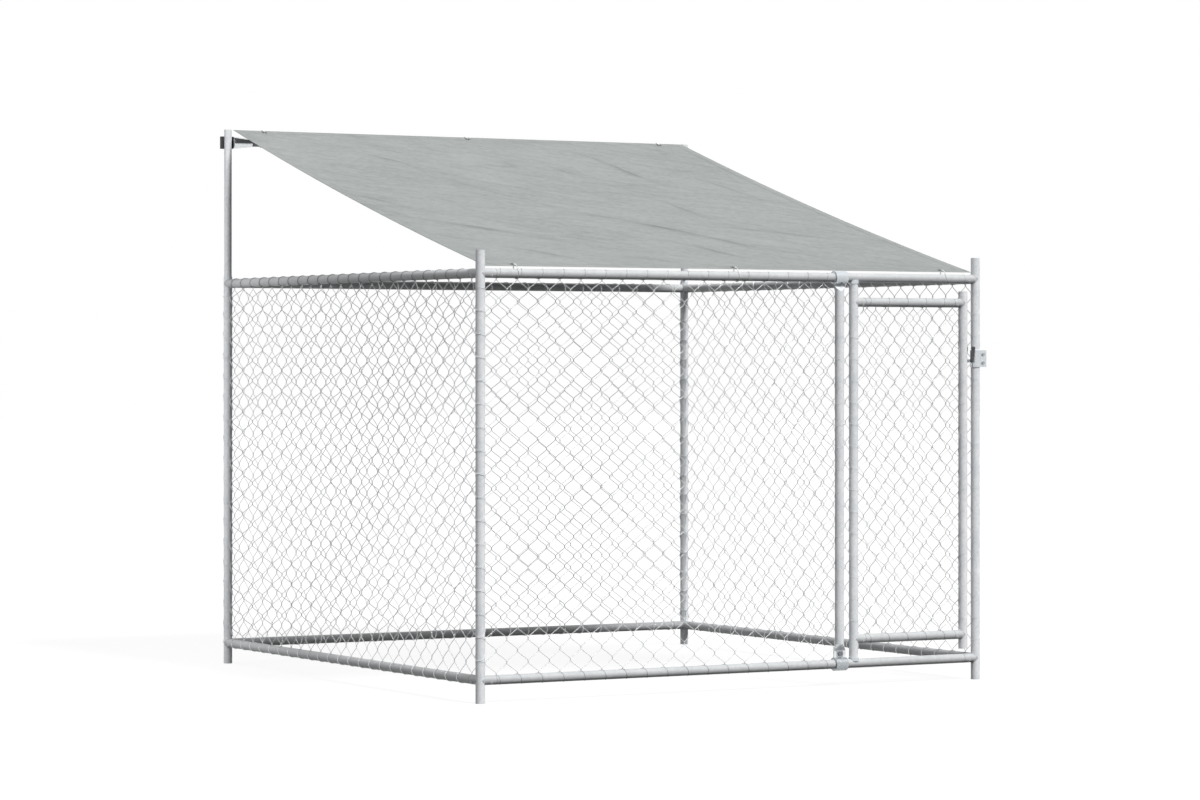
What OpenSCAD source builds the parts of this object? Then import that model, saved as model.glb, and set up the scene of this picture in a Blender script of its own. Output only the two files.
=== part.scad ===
// Outdoor dog kennel run: a square cage of galvanised tube and chain-link wire, with a hinged
// door, a fork latch and a sloping sheet roof that is tied to two taller rear masts.
// Millimetres. X runs along the front to the right, Y to the back and Z up from the ground.
// The origin is on the ground at the middle of the four posts.

/* [Footprint and heights] */
// Distance between the post axes along the front
run_w = 2000; // [1700:10:2600]
// Distance between the post axes from front to back
run_d = 2000; // [1400:10:2600]
// Height of the front posts
front_post_h = 1500; // [1350:10:1650]
// Height of the rear mast tops
mast_top = 2000; // [1850:10:2200]
// Height of the bottom rail axes
foot_h = 76.5; // [60:0.5:110]
// Front post above the top rail axes
post_head = 76.5; // [60:0.5:110]
// Rear post above the top rail axes
rear_post_head = 26; // [20:1:50]
// Length of mast inside its rear post
mast_insert = 120; // [90:5:200]

/* [Tubes] */
// Outer diameter of posts, rails and door tubes
tube_d = 32; // [30:0.5:36]
// Wall of every tube
tube_wall = 1.5; // [1:0.1:2]
// Gap all round a tube end inside another tube
slip_gap = 0.4; // [0.2:0.05:0.6]
// Gap left for a weld between coped tubes
weld_gap = 0.15; // [0.1:0.05:0.3]
// Length of a rail socket from its post's axis
socket_reach = 55; // [48:1:80]
// Length of a rail's narrowed end
swage_len = 38; // [26:1:40]
// Length of a door socket from its stile's axis
door_socket_reach = 43; // [40:1:60]
// Length of a door rail's narrowed end
door_swage_len = 24; // [20:1:25]

/* [Door] */
// Distance between the stile axes
door_w = 466; // [400:2:600]
// Latch stile's axis from the right post's axis
latch_side = 54; // [52:0.5:62]
// Door post's axis from the hinge stile's axis
hinge_side = 59; // [54:0.5:90]
// Door rail axes in from the frame's rail axes
door_rail_inset = 85; // [78:1:120]
// Latch stile's top end below the top rail's axis
latch_stile_drop = 43.5; // [24:0.5:50]
// Latch stile's foot above the bottom rail's axis
latch_stile_rise = 34.5; // [24:0.5:50]
// Length of hinge pin inside the stile
hinge_pin_len = 60; // [40:1:65]
// Radial running gap of the hinge pins
hinge_gap = 0.08; // [0.03:0.01:0.1]
// Diameter of a hinge pin's shoulder
hinge_collar_d = 38; // [36:0.5:42]
// Height of a hinge pin's shoulder above its rail
hinge_collar_h = 4; // [2:0.5:6]
// Gap under the hinge stile
hinge_seat_gap = 0.3; // [0.2:0.1:1]
// Lift room over the hinge stile
hinge_lift = 3; // [1:0.5:5]

/* [Door post clamps] */
// Thickness of the strap metal
strap_t = 2.5; // [2:0.1:3]
// Thickness of the split band round the rail
band_t = 7.3; // [5:0.1:9]
// Gap between a strap and the tube it holds
strap_gap = 0.2; // [0.1:0.05:0.4]
// Width of the band round the rail
band_w = 48; // [38:1:56]
// Width of the bottom clamp's ears
ear_w = 26; // [22:1:40]
// Bottom clamp bolt from its rail's axis
foot_bolt_rise = 36; // [34:0.5:44]
// Ear length past the bottom clamp bolt
ear_past_bolt = 11; // [10:0.5:16]
// Shank diameter of the bottom clamp bolt
foot_bolt_d = 9; // [7:0.5:10]
// Length of the post's flattened foot
foot_flat = 30; // [28:1:50]
// Length over which the foot turns from flat to round
foot_taper = 22; // [18:1:60]
// Top clamp bolt from its rail's axis
head_bolt_rise = 21; // [20:0.25:22]
// Shank diameter of the top clamp bolt
head_bolt_d = 5; // [4:0.25:5.5]
// Length of the post's flattened head
head_flat = 11; // [9:0.5:20]
// Length over which the head turns from flat to round
head_taper = 18; // [15:1:60]

/* [Latch] */
// Height of the fork's pivot
latch_h = 1133; // [700:1:1200]
// Pivot axis from the right post's axis
latch_pivot_out = 30; // [29:0.5:31]
// Height of the latch band
latch_band_h = 60; // [50:1:90]
// Latch band's middle above the pivot
latch_band_up = 8.5; // [0:0.5:12]
// Reach of the band's ears from the post's axis
latch_ear_reach = 46; // [42:0.5:60]
// Bolts from the post's axis
latch_bolt_out = 31; // [29:0.5:34]
// Distance between the two bolts
latch_bolt_pitch = 30; // [24:1:36]
// Latch bolt shank diameter
latch_bolt_d = 6; // [5:0.5:8]
// Diameter of the pivot knuckle
knuckle_d = 12; // [11:0.5:13]
// Diameter of the pivot pin
pivot_d = 6; // [5:0.5:7]
// Thickness of a fork arm
arm_t = 5; // [3:0.5:8]
// Width of a fork arm
arm_w = 12; // [10:0.5:14]
// Length of a fork arm from the pivot to its tip
arm_len = 52; // [46:1:70]
// Room between a fork arm and the door stile
arm_room = 3; // [2:0.5:6]
// How far the lifted fork leans towards the post
arm_lean = 8; // [4:1:12]

/* [Chain-link] */
// Thickness of the wire
wire_t = 2.4; // [2:0.1:3]
// Wanted width of one mesh
mesh_w = 152; // [140:2:220]
// Wanted height of one mesh
mesh_h = 132; // [120:2:200]
// Gap between a wire and the tube that holds it
wire_gap = 0.3; // [0.2:0.05:0.6]

/* [Roof] */
// Outer diameter of the bar between the masts
bar_d = 25; // [22:0.5:30]
// Bar's axis below the mast tops
bar_drop = 48; // [40:1:70]
// Height of a bar fitting
fitting_h = 46; // [40:1:60]
// Reach of the saddle outside its mast's axis
saddle_out = 24; // [20:0.5:30]
// Saddle's inner end from its mast's axis
saddle_in = 19; // [17:0.5:24]
// Front of the saddle behind its mast's axis
saddle_front = 3; // [1:0.5:6]
// Back of the saddle behind its mast's axis
saddle_back = 22; // [20:0.5:28]
// Length of a cup's rim
cup_rim = 11; // [6:0.5:16]
// Length of a cup's taper
cup_taper = 65; // [40:1:90]
// Wall of a cup at its mouth
cup_lip = 3; // [2:0.25:5]
// Thickness of the roof sheet
sheet_t = 1.2; // [0.8:0.1:2]
// Sheet's side edges from the post axes
sheet_side = 18; // [17:0.5:40]
// Sheet's front edge behind the front post axes
sheet_front = 0; // [0:1:10]
// Sheet's rear edge in front of the mast axes
sheet_rear = 8; // [4:0.5:20]
// Sheet's front edge above the door post's top clamp
sheet_clear = 1.5; // [1:0.25:6]
// Sheet's rear edge below the mast tops
sheet_drop = 1; // [0:0.5:6]
// Sag of the sheet at its middle
sheet_sag = 18; // [5:1:40]
// Height of the sheet's soft creases
crease_h = 4; // [0:0.5:8]
// Eyelet centres from the sheet's edges
eyelet_in = 25; // [24:0.5:35]
// Bore diameter of an eyelet
eyelet_bore = 13; // [12.5:0.5:14]
// Flange diameter of an eyelet
eyelet_flange = 22; // [19:0.5:26]
// Metal thickness of an eyelet
eyelet_t = 0.6; // [0.4:0.1:0.8]
// Outer ties along an edge from the post axes
tie_end = 136; // [110:1:300]
// Thickness of a tie cord
cord_d = 3; // [2.5:0.1:3.2]

/* [Screws] */
// Shank diameter of a tube screw
screw_d = 5; // [4:0.1:6]
// Head diameter of a tube screw
screw_head_d = 9.5; // [8:0.5:12]
// Head height of a tube screw
screw_head_h = 3.2; // [2:0.1:5]
// Shank length of a tube screw
screw_len = 10; // [6:0.5:12]
// Gap round a shank in its hole
hole_gap = 0.1; // [0.05:0.05:0.2]
// Rail screws from the post axes
screw_reach = 36; // [30:0.5:42]
// Door screws from the stile axes
door_screw_reach = 32; // [28:0.5:36]
// Slope of the screws below the horizontal
screw_slope = 28; // [0:1:40]

/* [Hidden] */
$fn = 48;
tube_r = tube_d / 2;
bore_r = tube_r - tube_wall;
slip_r = bore_r - slip_gap;
x_post = run_w / 2;
y_post = run_d / 2;
rail_low = foot_h;
rail_high = front_post_h - post_head;
rail_levels = [rail_low, rail_high];
rear_post_h = rail_high + rear_post_head;

// Side 0 is the front, 1 the right, 2 the rear and 3 the left, each seen from outside
function side_half(i) = i % 2 == 0 ? x_post : y_post;
function side_out(i) = i % 2 == 0 ? y_post : x_post;

// Door
latch_x = x_post - latch_side;
hinge_x = latch_x - door_w;
door_post_x = hinge_x - hinge_side;
door_mid_x = (hinge_x + latch_x) / 2;
door_low = rail_low + door_rail_inset;
door_high = rail_high - door_rail_inset;
hinge_stile_foot = rail_low + tube_r + hinge_collar_h + hinge_seat_gap;
hinge_stile_top = rail_high - tube_r - hinge_collar_h - hinge_lift;
latch_stile_foot = rail_low + latch_stile_rise;
latch_stile_top = rail_high - latch_stile_drop;
pin_r = bore_r - hinge_gap;

// Door post, whose tube is pressed flat at both ends
flat_t = 2 * tube_wall + slip_gap;
flat_w = PI * (tube_d - tube_wall) / 2 + tube_wall;
flat_gap = 1;
flat_end = tube_r + flat_gap;
foot_round = flat_end + foot_flat + foot_taper;
head_round = flat_end + head_flat + head_taper;
band_r = tube_r + strap_gap + band_t;
ear_top = foot_bolt_rise + ear_past_bolt;
ear_face = flat_t / 2 + strap_gap;
ear_out = ear_face + strap_t;
head_seat = ear_face + band_t * 0.9;

// Latch
latch_ear_face = 1;
latch_ear_out = latch_ear_face + strap_t;
latch_band_z = latch_h + latch_band_up;
pivot_x = x_post - latch_pivot_out;
arm_face = tube_r + arm_room;
arm_out = arm_face + arm_t;
knuckle_half = arm_face - 0.5;
pivot_gap = 0.08;
pivot_head_t = 2;

// Nets stop short of the posts by the thickness of the latch band
net_side = tube_r + strap_gap + strap_t + wire_gap;
net_edge = wire_t / 2 + wire_gap;
layer_gap = 0.1;

// Roof
bar_r = bar_d / 2;
bar_z = mast_top - bar_drop;
bar_seat = 6;
bar_end_gap = 2;
cup_mouth = saddle_in + cup_rim + cup_taper;
cup_r = fitting_h / 2;
sheet_half = x_post - sheet_side;
sheet_y0 = -y_post + sheet_front;
sheet_y1 = y_post - sheet_rear;
sheet_z0 = rail_high + band_r + sheet_clear;
sheet_z1 = mast_top - sheet_drop;
sheet_cols = 20;
sheet_rows = 20;
creases = 2.5;
eyelet_gap = 0.2;
sleeve_r = eyelet_bore / 2 + eyelet_t;
cord_r = cord_d / 2;
seat_gap = 0.3;
tie_lift = sheet_t / 2 + eyelet_gap + eyelet_t + cord_r + seat_gap;
tie_room = 1.2;
tie_pull = eyelet_bore / 2 - cord_r - tie_room;
tie_step = 12;
tie_sides = 8;
tie_spots = [-x_post + tie_end, 0, x_post - tie_end];

galvanised = [0.78, 0.80, 0.81];
bright_zinc = [0.86, 0.87, 0.88];
dark_zinc = [0.30, 0.31, 0.33];
wire_grey = [0.72, 0.74, 0.75];
sheet_grey = [0.66, 0.69, 0.68];
cord_grey = [0.80, 0.81, 0.80];
black = [0.05, 0.05, 0.05];

// Moves its children to the middle of a side, with X along the side and Y inwards
module on_side(i) {
    rotate([0, 0, 90 * i]) translate([0, -side_out(i), 0]) children();
}

// Moves its children to the front plane
module on_front() {
    translate([0, -y_post, 0]) children();
}

// Turns a Z axis into one along X
module along_x() {
    rotate([0, 90, 0]) children();
}

// Turns a Z axis into one along Y
module along_y() {
    rotate([-90, 0, 0]) children();
}

// A plain tube along Z, from the height low to the height high
module tube(r, low, high) {
    translate([0, 0, low]) difference() {
        cylinder(r = r, h = high - low);
        translate([0, 0, -1]) cylinder(r = r - tube_wall, h = high - low + 2);
    }
}

// A tube along Z, centred, whose two ends are narrowed to enter a socket
module swaged_tube(length, swage) {
    half = length / 2;
    tip = half + swage;
    step = half - tube_wall;
    inner = slip_r - tube_wall;
    rotate_extrude() polygon([
        [slip_r, -tip], [slip_r, -half], [tube_r, -half],
        [tube_r, half], [slip_r, half], [slip_r, tip],
        [inner, tip], [inner, step], [bore_r, step],
        [bore_r, -step], [inner, -step], [inner, -tip]
    ]);
}

// Points a Z axis out of a tube along X, down from the horizontal by the screws' slope
module at_screw(x) {
    translate([x, 0, 0]) rotate([90 + screw_slope, 0, 0]) children();
}

// A self-drilling screw whose head sits on the outside of a tube
module tube_screw() {
    translate([0, 0, tube_r - screw_len]) cylinder(d = screw_d, h = screw_len);
    translate([0, 0, tube_r]) cylinder(d = screw_head_d, h = screw_head_h * 0.4);
    translate([0, 0, tube_r + screw_head_h * 0.4])
        cylinder(d1 = screw_head_d, d2 = screw_head_d * 0.6, h = screw_head_h * 0.6);
}

module screw_hole() {
    translate([0, 0, tube_r - screw_len - 1]) cylinder(d = screw_d + 2 * hole_gap, h = screw_len + 4);
}

// A hexagon bolt along Z with its head's seat at zero and its shank downwards
module hex_bolt(d, grip) {
    cylinder(d = d * 2, h = d * 0.6, $fn = 6);
    translate([0, 0, -grip]) cylinder(d = d, h = grip);
}

module hex_nut(d) {
    difference() {
        cylinder(d = d * 2, h = d * 0.7, $fn = 6);
        translate([0, 0, -1]) cylinder(d = d + 2 * hole_gap, h = d + 2);
    }
}

// A short socket tube along X from a post at the origin, coped to the post and cut at 45
// degrees on its inner side, where the next socket of the same corner meets it
module corner_socket() {
    big = 4 * tube_d;
    difference() {
        along_x() cylinder(r = tube_r, h = socket_reach);
        translate([-1, 0, 0]) along_x() cylinder(r = bore_r, h = socket_reach + 2);
        cylinder(r = tube_r + weld_gap, h = big, center = true);
        rotate([0, 0, 45]) translate([-big / 2, -weld_gap, -big / 2]) cube(big);
        at_screw(screw_reach) screw_hole();
    }
}

// The four sockets of one corner: two levels on the two sides that meet there
module corner_sockets(k) {
    color(galvanised) for (z = rail_levels) {
        on_side(k) translate([-side_half(k), 0, z]) corner_socket();
        on_side((k + 3) % 4) translate([side_half(k + 3), 0, z]) mirror([1, 0, 0]) corner_socket();
    }
}

module rail(i, z) {
    color(galvanised) on_side(i) translate([0, 0, z]) difference() {
        along_x() swaged_tube(2 * (side_half(i) - socket_reach), swage_len);
        for (s = [-1, 1]) at_screw(s * (side_half(i) - screw_reach)) screw_hole();
    }
}

module rail_screws() {
    color(dark_zinc) for (i = [0 : 3], z = rail_levels, s = [-1, 1])
        on_side(i) translate([0, 0, z]) at_screw(s * (side_half(i) - screw_reach)) tube_screw();
}

module front_post(s) {
    color(galvanised) translate([s * x_post, -y_post, 0]) tube(tube_r, 0, front_post_h);
}

// The screw that holds a mast, seen from the mast's axis and pointing to the back
module at_mast_screw(s) {
    translate([s * x_post, y_post, rear_post_h - mast_insert * 0.7]) along_y() children();
}

module rear_post(s) {
    color(galvanised) difference() {
        translate([s * x_post, y_post, 0]) tube(tube_r, 0, rear_post_h);
        at_mast_screw(s) screw_hole();
    }
}

module mast(s) {
    color(galvanised) difference() {
        translate([s * x_post, y_post, 0]) tube(slip_r, rear_post_h - mast_insert, mast_top);
        at_mast_screw(s) screw_hole();
        at_saddle_bolt(s) saddle_bolt_hole();
    }
}

module mast_screws() {
    color(dark_zinc) for (s = [-1, 1]) at_mast_screw(s) tube_screw();
}

// A flat net of straight wires in two layers, filling the window from low to high corner
module net(x0, x1, z0, z1) {
    w = x1 - x0;
    h = z1 - z0;
    nx = max(1, round(w / mesh_w));
    nz = max(1, round(h / mesh_h));
    cell_w = w / nx;
    cell_h = h / nz;
    layer = (wire_t + layer_gap) / 2;
    translate([x0, 0, z0]) for (k = [0.5 : 1 : nx + nz]) {
        rise0 = max(0, (k - nz) * cell_w);
        rise1 = min(w, k * cell_w);
        fall_k = k - nz;
        fall0 = max(0, fall_k * cell_w);
        fall1 = min(w, (fall_k + nz) * cell_w);
        wire([rise0, (k - rise0 / cell_w) * cell_h], [rise1, (k - rise1 / cell_w) * cell_h], -layer);
        wire([fall0, (fall0 / cell_w - fall_k) * cell_h], [fall1, (fall1 / cell_w - fall_k) * cell_h], layer);
    }
}

// One straight wire of square section between two points of the net's plane
module wire(p, q, y) {
    span = q - p;
    translate([(p.x + q.x) / 2, y, (p.y + q.y) / 2])
        rotate([0, -atan2(span.y, span.x), 0]) cube([norm(span), wire_t, wire_t], center = true);
}

module side_net(i) {
    reach = side_half(i) - net_side;
    color(wire_grey) on_side(i)
        net(-reach, reach, rail_low + tube_r + net_edge, rail_high - tube_r - net_edge);
}

module front_net() {
    color(wire_grey) on_front() net(
        -x_post + net_side, door_post_x - flat_w / 2 - wire_gap,
        rail_low + tube_r + net_edge, rail_high - tube_r - net_edge);
}

// The stretch of the door post, or of its bore, that goes from a flat section to a round one
module flat_to_round(r, w, t, low, high) {
    thin = 0.02;
    hull() {
        translate([0, 0, low]) cube([w, t, thin], center = true);
        translate([0, 0, high]) cylinder(r = r, h = thin, center = true, $fn = 32);
    }
}

// One end of the door post, pressed flat and drilled for its clamp's bolt
module flattened_end(flat, taper, bolt_rise, bolt_d) {
    low = flat_end + flat;
    high = low + taper;
    difference() {
        union() {
            translate([-flat_w / 2, -flat_t / 2, flat_end]) cube([flat_w, flat_t, flat]);
            flat_to_round(tube_r, flat_w, flat_t, low, high);
        }
        flat_to_round(bore_r, flat_w - 2 * tube_wall, slip_gap, low, high);
        translate([0, 0, bolt_rise]) clamp_bolt_hole(bolt_d);
    }
}

module clamp_bolt_hole(bolt_d) {
    along_y() cylinder(d = bolt_d + 2 * hole_gap, h = 4 * tube_d, center = true);
}

// Moves its children to a clamp of the door post, with Z pointing away from the rail
module at_clamp(top) {
    translate([door_post_x, -y_post, top ? rail_high : rail_low]) mirror([0, 0, top ? 1 : 0]) children();
}

module door_post() {
    color(galvanised) {
        translate([door_post_x, -y_post, 0])
            tube(tube_r, rail_low + foot_round, rail_high - head_round);
        at_clamp(false) flattened_end(foot_flat, foot_taper, foot_bolt_rise, foot_bolt_d);
        at_clamp(true) flattened_end(head_flat, head_taper, head_bolt_rise, head_bolt_d);
    }
}

// A thick band round a rail, split on one side to take the post's flat end
module split_band() {
    difference() {
        along_x() cylinder(r = band_r, h = band_w, center = true);
        band_cuts();
    }
}

module band_cuts() {
    along_x() cylinder(r = tube_r + strap_gap, h = 2 * band_w, center = true);
    translate([-band_w, -ear_face, 0]) cube([2 * band_w, 2 * ear_face, 2 * ear_top]);
}

// The bottom clamp's band goes on into two ears over the post's flat foot
module door_post_bottom_clamp() {
    color(bright_zinc) at_clamp(false) difference() {
        union() {
            split_band();
            translate([-ear_w / 2, -ear_out, 0]) cube([ear_w, 2 * ear_out, ear_top]);
        }
        band_cuts();
        translate([0, 0, foot_bolt_rise]) clamp_bolt_hole(foot_bolt_d);
    }
}

// The top clamp pinches the post's flat head inside its band, with the bolt's seats cut into it
module door_post_top_clamp() {
    seat_d = 2 * head_bolt_d + 1;
    color(bright_zinc) at_clamp(true) difference() {
        split_band();
        translate([0, 0, head_bolt_rise]) {
            clamp_bolt_hole(head_bolt_d);
            for (s = [0, 1]) mirror([0, s, 0]) translate([0, head_seat, 0]) along_y()
                cylinder(d = seat_d, h = band_r);
        }
    }
}

module clamp_bolts() {
    color(dark_zinc) {
        at_clamp(false) translate([0, -ear_out, foot_bolt_rise]) rotate([90, 0, 0])
            hex_bolt(foot_bolt_d, 2 * ear_out + foot_bolt_d);
        at_clamp(true) translate([0, -head_seat, head_bolt_rise]) rotate([90, 0, 0])
            hex_bolt(head_bolt_d, 2 * head_seat + head_bolt_d);
    }
}

module clamp_nuts() {
    color(dark_zinc) {
        at_clamp(false) translate([0, ear_out, foot_bolt_rise]) along_y() hex_nut(foot_bolt_d);
        at_clamp(true) translate([0, head_seat, head_bolt_rise]) along_y() hex_nut(head_bolt_d);
    }
}

// A hinge pin that stands on a rail along X at the origin, with a shoulder under the stile
module hinge_pin() {
    shoulder_top = tube_r + hinge_collar_h;
    saddle_foot = tube_r / 2;
    color(bright_zinc) difference() {
        union() {
            translate([0, 0, saddle_foot]) cylinder(r = pin_r, h = shoulder_top + hinge_pin_len - saddle_foot);
            translate([0, 0, saddle_foot]) cylinder(d = hinge_collar_d, h = shoulder_top - saddle_foot);
        }
        cylinder(r = pin_r - 2 * tube_wall, h = shoulder_top + hinge_pin_len + 1);
        along_x() cylinder(r = tube_r + weld_gap, h = 2 * hinge_collar_d, center = true);
    }
}

module bottom_hinge_pin() {
    translate([hinge_x, -y_post, rail_low]) hinge_pin();
}

module top_hinge_pin() {
    translate([hinge_x, -y_post, rail_high]) mirror([0, 0, 1]) hinge_pin();
}

module door_hinge_stile() {
    color(galvanised) translate([hinge_x, -y_post, 0]) tube(tube_r, hinge_stile_foot, hinge_stile_top);
}

module door_latch_stile() {
    color(galvanised) translate([latch_x, -y_post, 0]) tube(tube_r, latch_stile_foot, latch_stile_top);
}

// A short socket tube along X from a door stile at the origin
module door_socket() {
    difference() {
        along_x() cylinder(r = tube_r, h = door_socket_reach);
        translate([-1, 0, 0]) along_x() cylinder(r = bore_r, h = door_socket_reach + 2);
        cylinder(r = tube_r + weld_gap, h = 4 * tube_d, center = true);
        at_screw(door_screw_reach) screw_hole();
    }
}

module door_sockets() {
    color(galvanised) on_front() for (z = [door_low, door_high]) {
        translate([hinge_x, 0, z]) door_socket();
        translate([latch_x, 0, z]) mirror([1, 0, 0]) door_socket();
    }
}

module door_rail(z) {
    color(galvanised) on_front() translate([door_mid_x, 0, z]) difference() {
        along_x() swaged_tube(door_w - 2 * door_socket_reach, door_swage_len);
        for (s = [-1, 1]) at_screw(s * (door_w / 2 - door_screw_reach)) screw_hole();
    }
}

module door_screws() {
    color(dark_zinc) on_front() for (z = [door_low, door_high], s = [-1, 1])
        translate([door_mid_x, 0, z]) at_screw(s * (door_w / 2 - door_screw_reach)) tube_screw();
}

module door_net() {
    color(wire_grey) on_front() net(
        hinge_x + tube_r + net_edge, latch_x - tube_r - net_edge,
        door_low + tube_r + net_edge, door_high - tube_r - net_edge);
}

// The band on the right post, with bolted ears outside it and the fork's knuckle inside it
module latch_band() {
    hold_r = tube_r + strap_gap;
    half = latch_band_h / 2;
    web = knuckle_d / 2;
    color(bright_zinc) translate([x_post, -y_post, latch_band_z]) difference() {
        union() {
            cylinder(r = hold_r + strap_t, h = latch_band_h, center = true);
            translate([0, -latch_ear_out, -half]) cube([latch_ear_reach, 2 * latch_ear_out, latch_band_h]);
            translate([-latch_pivot_out, 0, -latch_band_up]) along_y()
                cylinder(d = knuckle_d, h = 2 * knuckle_half, center = true);
            translate([-latch_pivot_out, -web, -latch_band_up - web])
                cube([latch_pivot_out - tube_r / 2, 2 * web, 2 * web]);
        }
        cylinder(r = hold_r, h = latch_band_h + 2, center = true);
        translate([0, -latch_ear_face, -half - 1])
            cube([latch_ear_reach + 1, 2 * latch_ear_face, latch_band_h + 2]);
        translate([-latch_pivot_out, 0, -latch_band_up]) along_y()
            cylinder(d = pivot_d + 2 * pivot_gap, h = 4 * knuckle_half, center = true);
        for (s = [-1, 1]) translate([latch_bolt_out, 0, s * latch_bolt_pitch / 2]) along_y()
            cylinder(d = latch_bolt_d + 2 * hole_gap, h = 6 * latch_ear_out, center = true);
    }
}

module at_latch_bolts() {
    for (s = [-1, 1])
        translate([x_post + latch_bolt_out, -y_post, latch_band_z + s * latch_bolt_pitch / 2]) children();
}

module latch_bolts() {
    nut_room = latch_bolt_d;
    color(dark_zinc) at_latch_bolts() translate([0, -latch_ear_out, 0]) rotate([90, 0, 0])
        hex_bolt(latch_bolt_d, 2 * latch_ear_out + nut_room);
}

module latch_nuts() {
    color(dark_zinc) at_latch_bolts() translate([0, latch_ear_out, 0]) along_y() hex_nut(latch_bolt_d);
}

// The two arms of the fork, lifted and leaning a little towards the post
module latch_arms() {
    straight = arm_len - arm_w / 2;
    color(bright_zinc) translate([pivot_x, -y_post, latch_h]) rotate([0, arm_lean, 0]) for (s = [-1, 1])
        translate([0, s * (arm_face + arm_t / 2), 0]) difference() {
            union() {
                translate([-arm_w / 2, -arm_t / 2, 0]) cube([arm_w, arm_t, straight]);
                for (z = [0, straight]) translate([0, 0, z]) along_y()
                    cylinder(d = arm_w, h = arm_t, center = true);
            }
            along_y() cylinder(d = pivot_d + 2 * hole_gap, h = 2 * arm_t, center = true);
        }
}

// The pin that carries both arms, with a head at each end
module latch_pivot() {
    color(dark_zinc) translate([pivot_x, -y_post, latch_h]) {
        along_y() cylinder(d = pivot_d, h = 2 * (arm_out + hole_gap), center = true);
        for (s = [-1, 1]) translate([0, s * (arm_out + hole_gap + pivot_head_t / 2), 0]) along_y()
            cylinder(d = pivot_d * 1.7, h = pivot_head_t, center = true);
    }
}

module roof_bar() {
    half = x_post - saddle_in - bar_seat - bar_end_gap;
    color(galvanised) translate([0, y_post, bar_z]) along_x() tube(bar_r, -half, half);
}

// Moves its children to a mast at the bar's height, with X pointing to the other mast
module at_fitting(s) {
    translate([s * x_post, y_post, bar_z]) mirror([s > 0 ? 1 : 0, 0, 0]) children();
}

// A rectangle with round corners
module round_rect(x0, y0, x1, y1, r) {
    translate([x0 + r, y0]) square([x1 - x0 - 2 * r, y1 - y0]);
    translate([x0, y0 + r]) square([x1 - x0, y1 - y0 - 2 * r]);
    for (x = [x0 + r, x1 - r], y = [y0 + r, y1 - r]) translate([x, y]) circle(r);
}

// A moulded saddle behind each mast
module roof_bar_saddles() {
    corner = 4;
    color(black) for (s = [-1, 1]) difference() {
        at_fitting(s) translate([0, 0, -fitting_h / 2]) linear_extrude(fitting_h) difference() {
            round_rect(-saddle_out, saddle_front, saddle_in, saddle_back, corner);
            circle(slip_r + weld_gap);
        }
        at_saddle_bolt(s) saddle_bolt_hole();
    }
}

// The bolt that holds a saddle to its mast from behind
module at_saddle_bolt(s) {
    translate([s * x_post, y_post + saddle_back, bar_z]) along_y() children();
}

module saddle_bolt_hole() {
    grip = saddle_back - slip_r + 2 * tube_wall + 3;
    translate([0, 0, -grip - 1]) cylinder(d = latch_bolt_d + 2 * hole_gap, h = grip + 2);
}

module saddle_bolts() {
    grip = saddle_back - slip_r + 2 * tube_wall + 3;
    color(dark_zinc) for (s = [-1, 1]) at_saddle_bolt(s) hex_bolt(latch_bolt_d, grip);
}

// A tapered cup that stands on the inner end of each saddle and takes the bar's end
module roof_bar_cups() {
    seat = bar_r + slip_gap;
    floor_x = saddle_in + bar_seat;
    rim_x = saddle_in + cup_rim;
    color(bright_zinc) for (s = [-1, 1]) at_fitting(s) along_x() rotate_extrude() polygon([
        [0, saddle_in], [cup_r, saddle_in], [cup_r, rim_x], [seat + cup_lip, cup_mouth],
        [seat, cup_mouth], [seat, floor_x], [0, floor_x]
    ]);
}

// Height of the sheet's middle surface above a point of the plan
function across(x) = (x + sheet_half) / (2 * sheet_half);
function along(y) = (y - sheet_y0) / (sheet_y1 - sheet_y0);
function crease(u, v) = sin(360 * creases * (v + 0.35 * u)) * sin(180 * u) * sin(180 * v);
function sheet_z(x, y) = let (u = across(x), v = along(y))
    sheet_z0 + (sheet_z1 - sheet_z0) * v - sheet_sag * 4 * v * (1 - v) + crease_h * crease(u, v);
function sheet_slope(x, y) = (sheet_z(x, y + 5) - sheet_z(x, y - 5)) / 10;

// The sheet as one closed skin: top points, then bottom points, row by row
module sheet_skin() {
    nx = sheet_cols + 1;
    ny = sheet_rows + 1;
    grid = [for (j = [0 : sheet_rows], i = [0 : sheet_cols]) [
        -sheet_half + 2 * sheet_half * i / sheet_cols,
        sheet_y0 + (sheet_y1 - sheet_y0) * j / sheet_rows
    ]];
    points = [for (t = [1, -1], p = grid) [p.x, p.y, sheet_z(p.x, p.y) + t * sheet_t / 2]];
    low = nx * ny;
    top = [for (j = [0 : sheet_rows - 1], i = [0 : sheet_cols - 1]) let (a = j * nx + i)
        each [[a, a + nx, a + 1], [a + 1, a + nx, a + nx + 1]]];
    bottom = [for (f = top) [for (k = [2 : -1 : 0]) low + f[k]]];
    rim = concat(
        [for (i = [0 : nx - 2]) i],
        [for (j = [0 : ny - 2]) j * nx + nx - 1],
        [for (i = [nx - 1 : -1 : 1]) (ny - 1) * nx + i],
        [for (j = [ny - 1 : -1 : 1]) j * nx]
    );
    edge = [for (k = [0 : len(rim) - 1]) let (a = rim[k], b = rim[(k + 1) % len(rim)])
        each [[a, b, a + low], [b, b + low, a + low]]];
    polyhedron(points, concat(top, bottom, edge));
}

// Eyelets in the sheet, along its front and rear edges
edge_spots = [for (x = tie_spots, y = [sheet_y0 + eyelet_in, sheet_y1 - eyelet_in]) [x, y]];

// Moves its children to an eyelet, square to the sheet
module at_eyelet(p) {
    translate([p.x, p.y, sheet_z(p.x, p.y)]) rotate([atan(sheet_slope(p.x, p.y)), 0, 0]) children();
}

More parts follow.
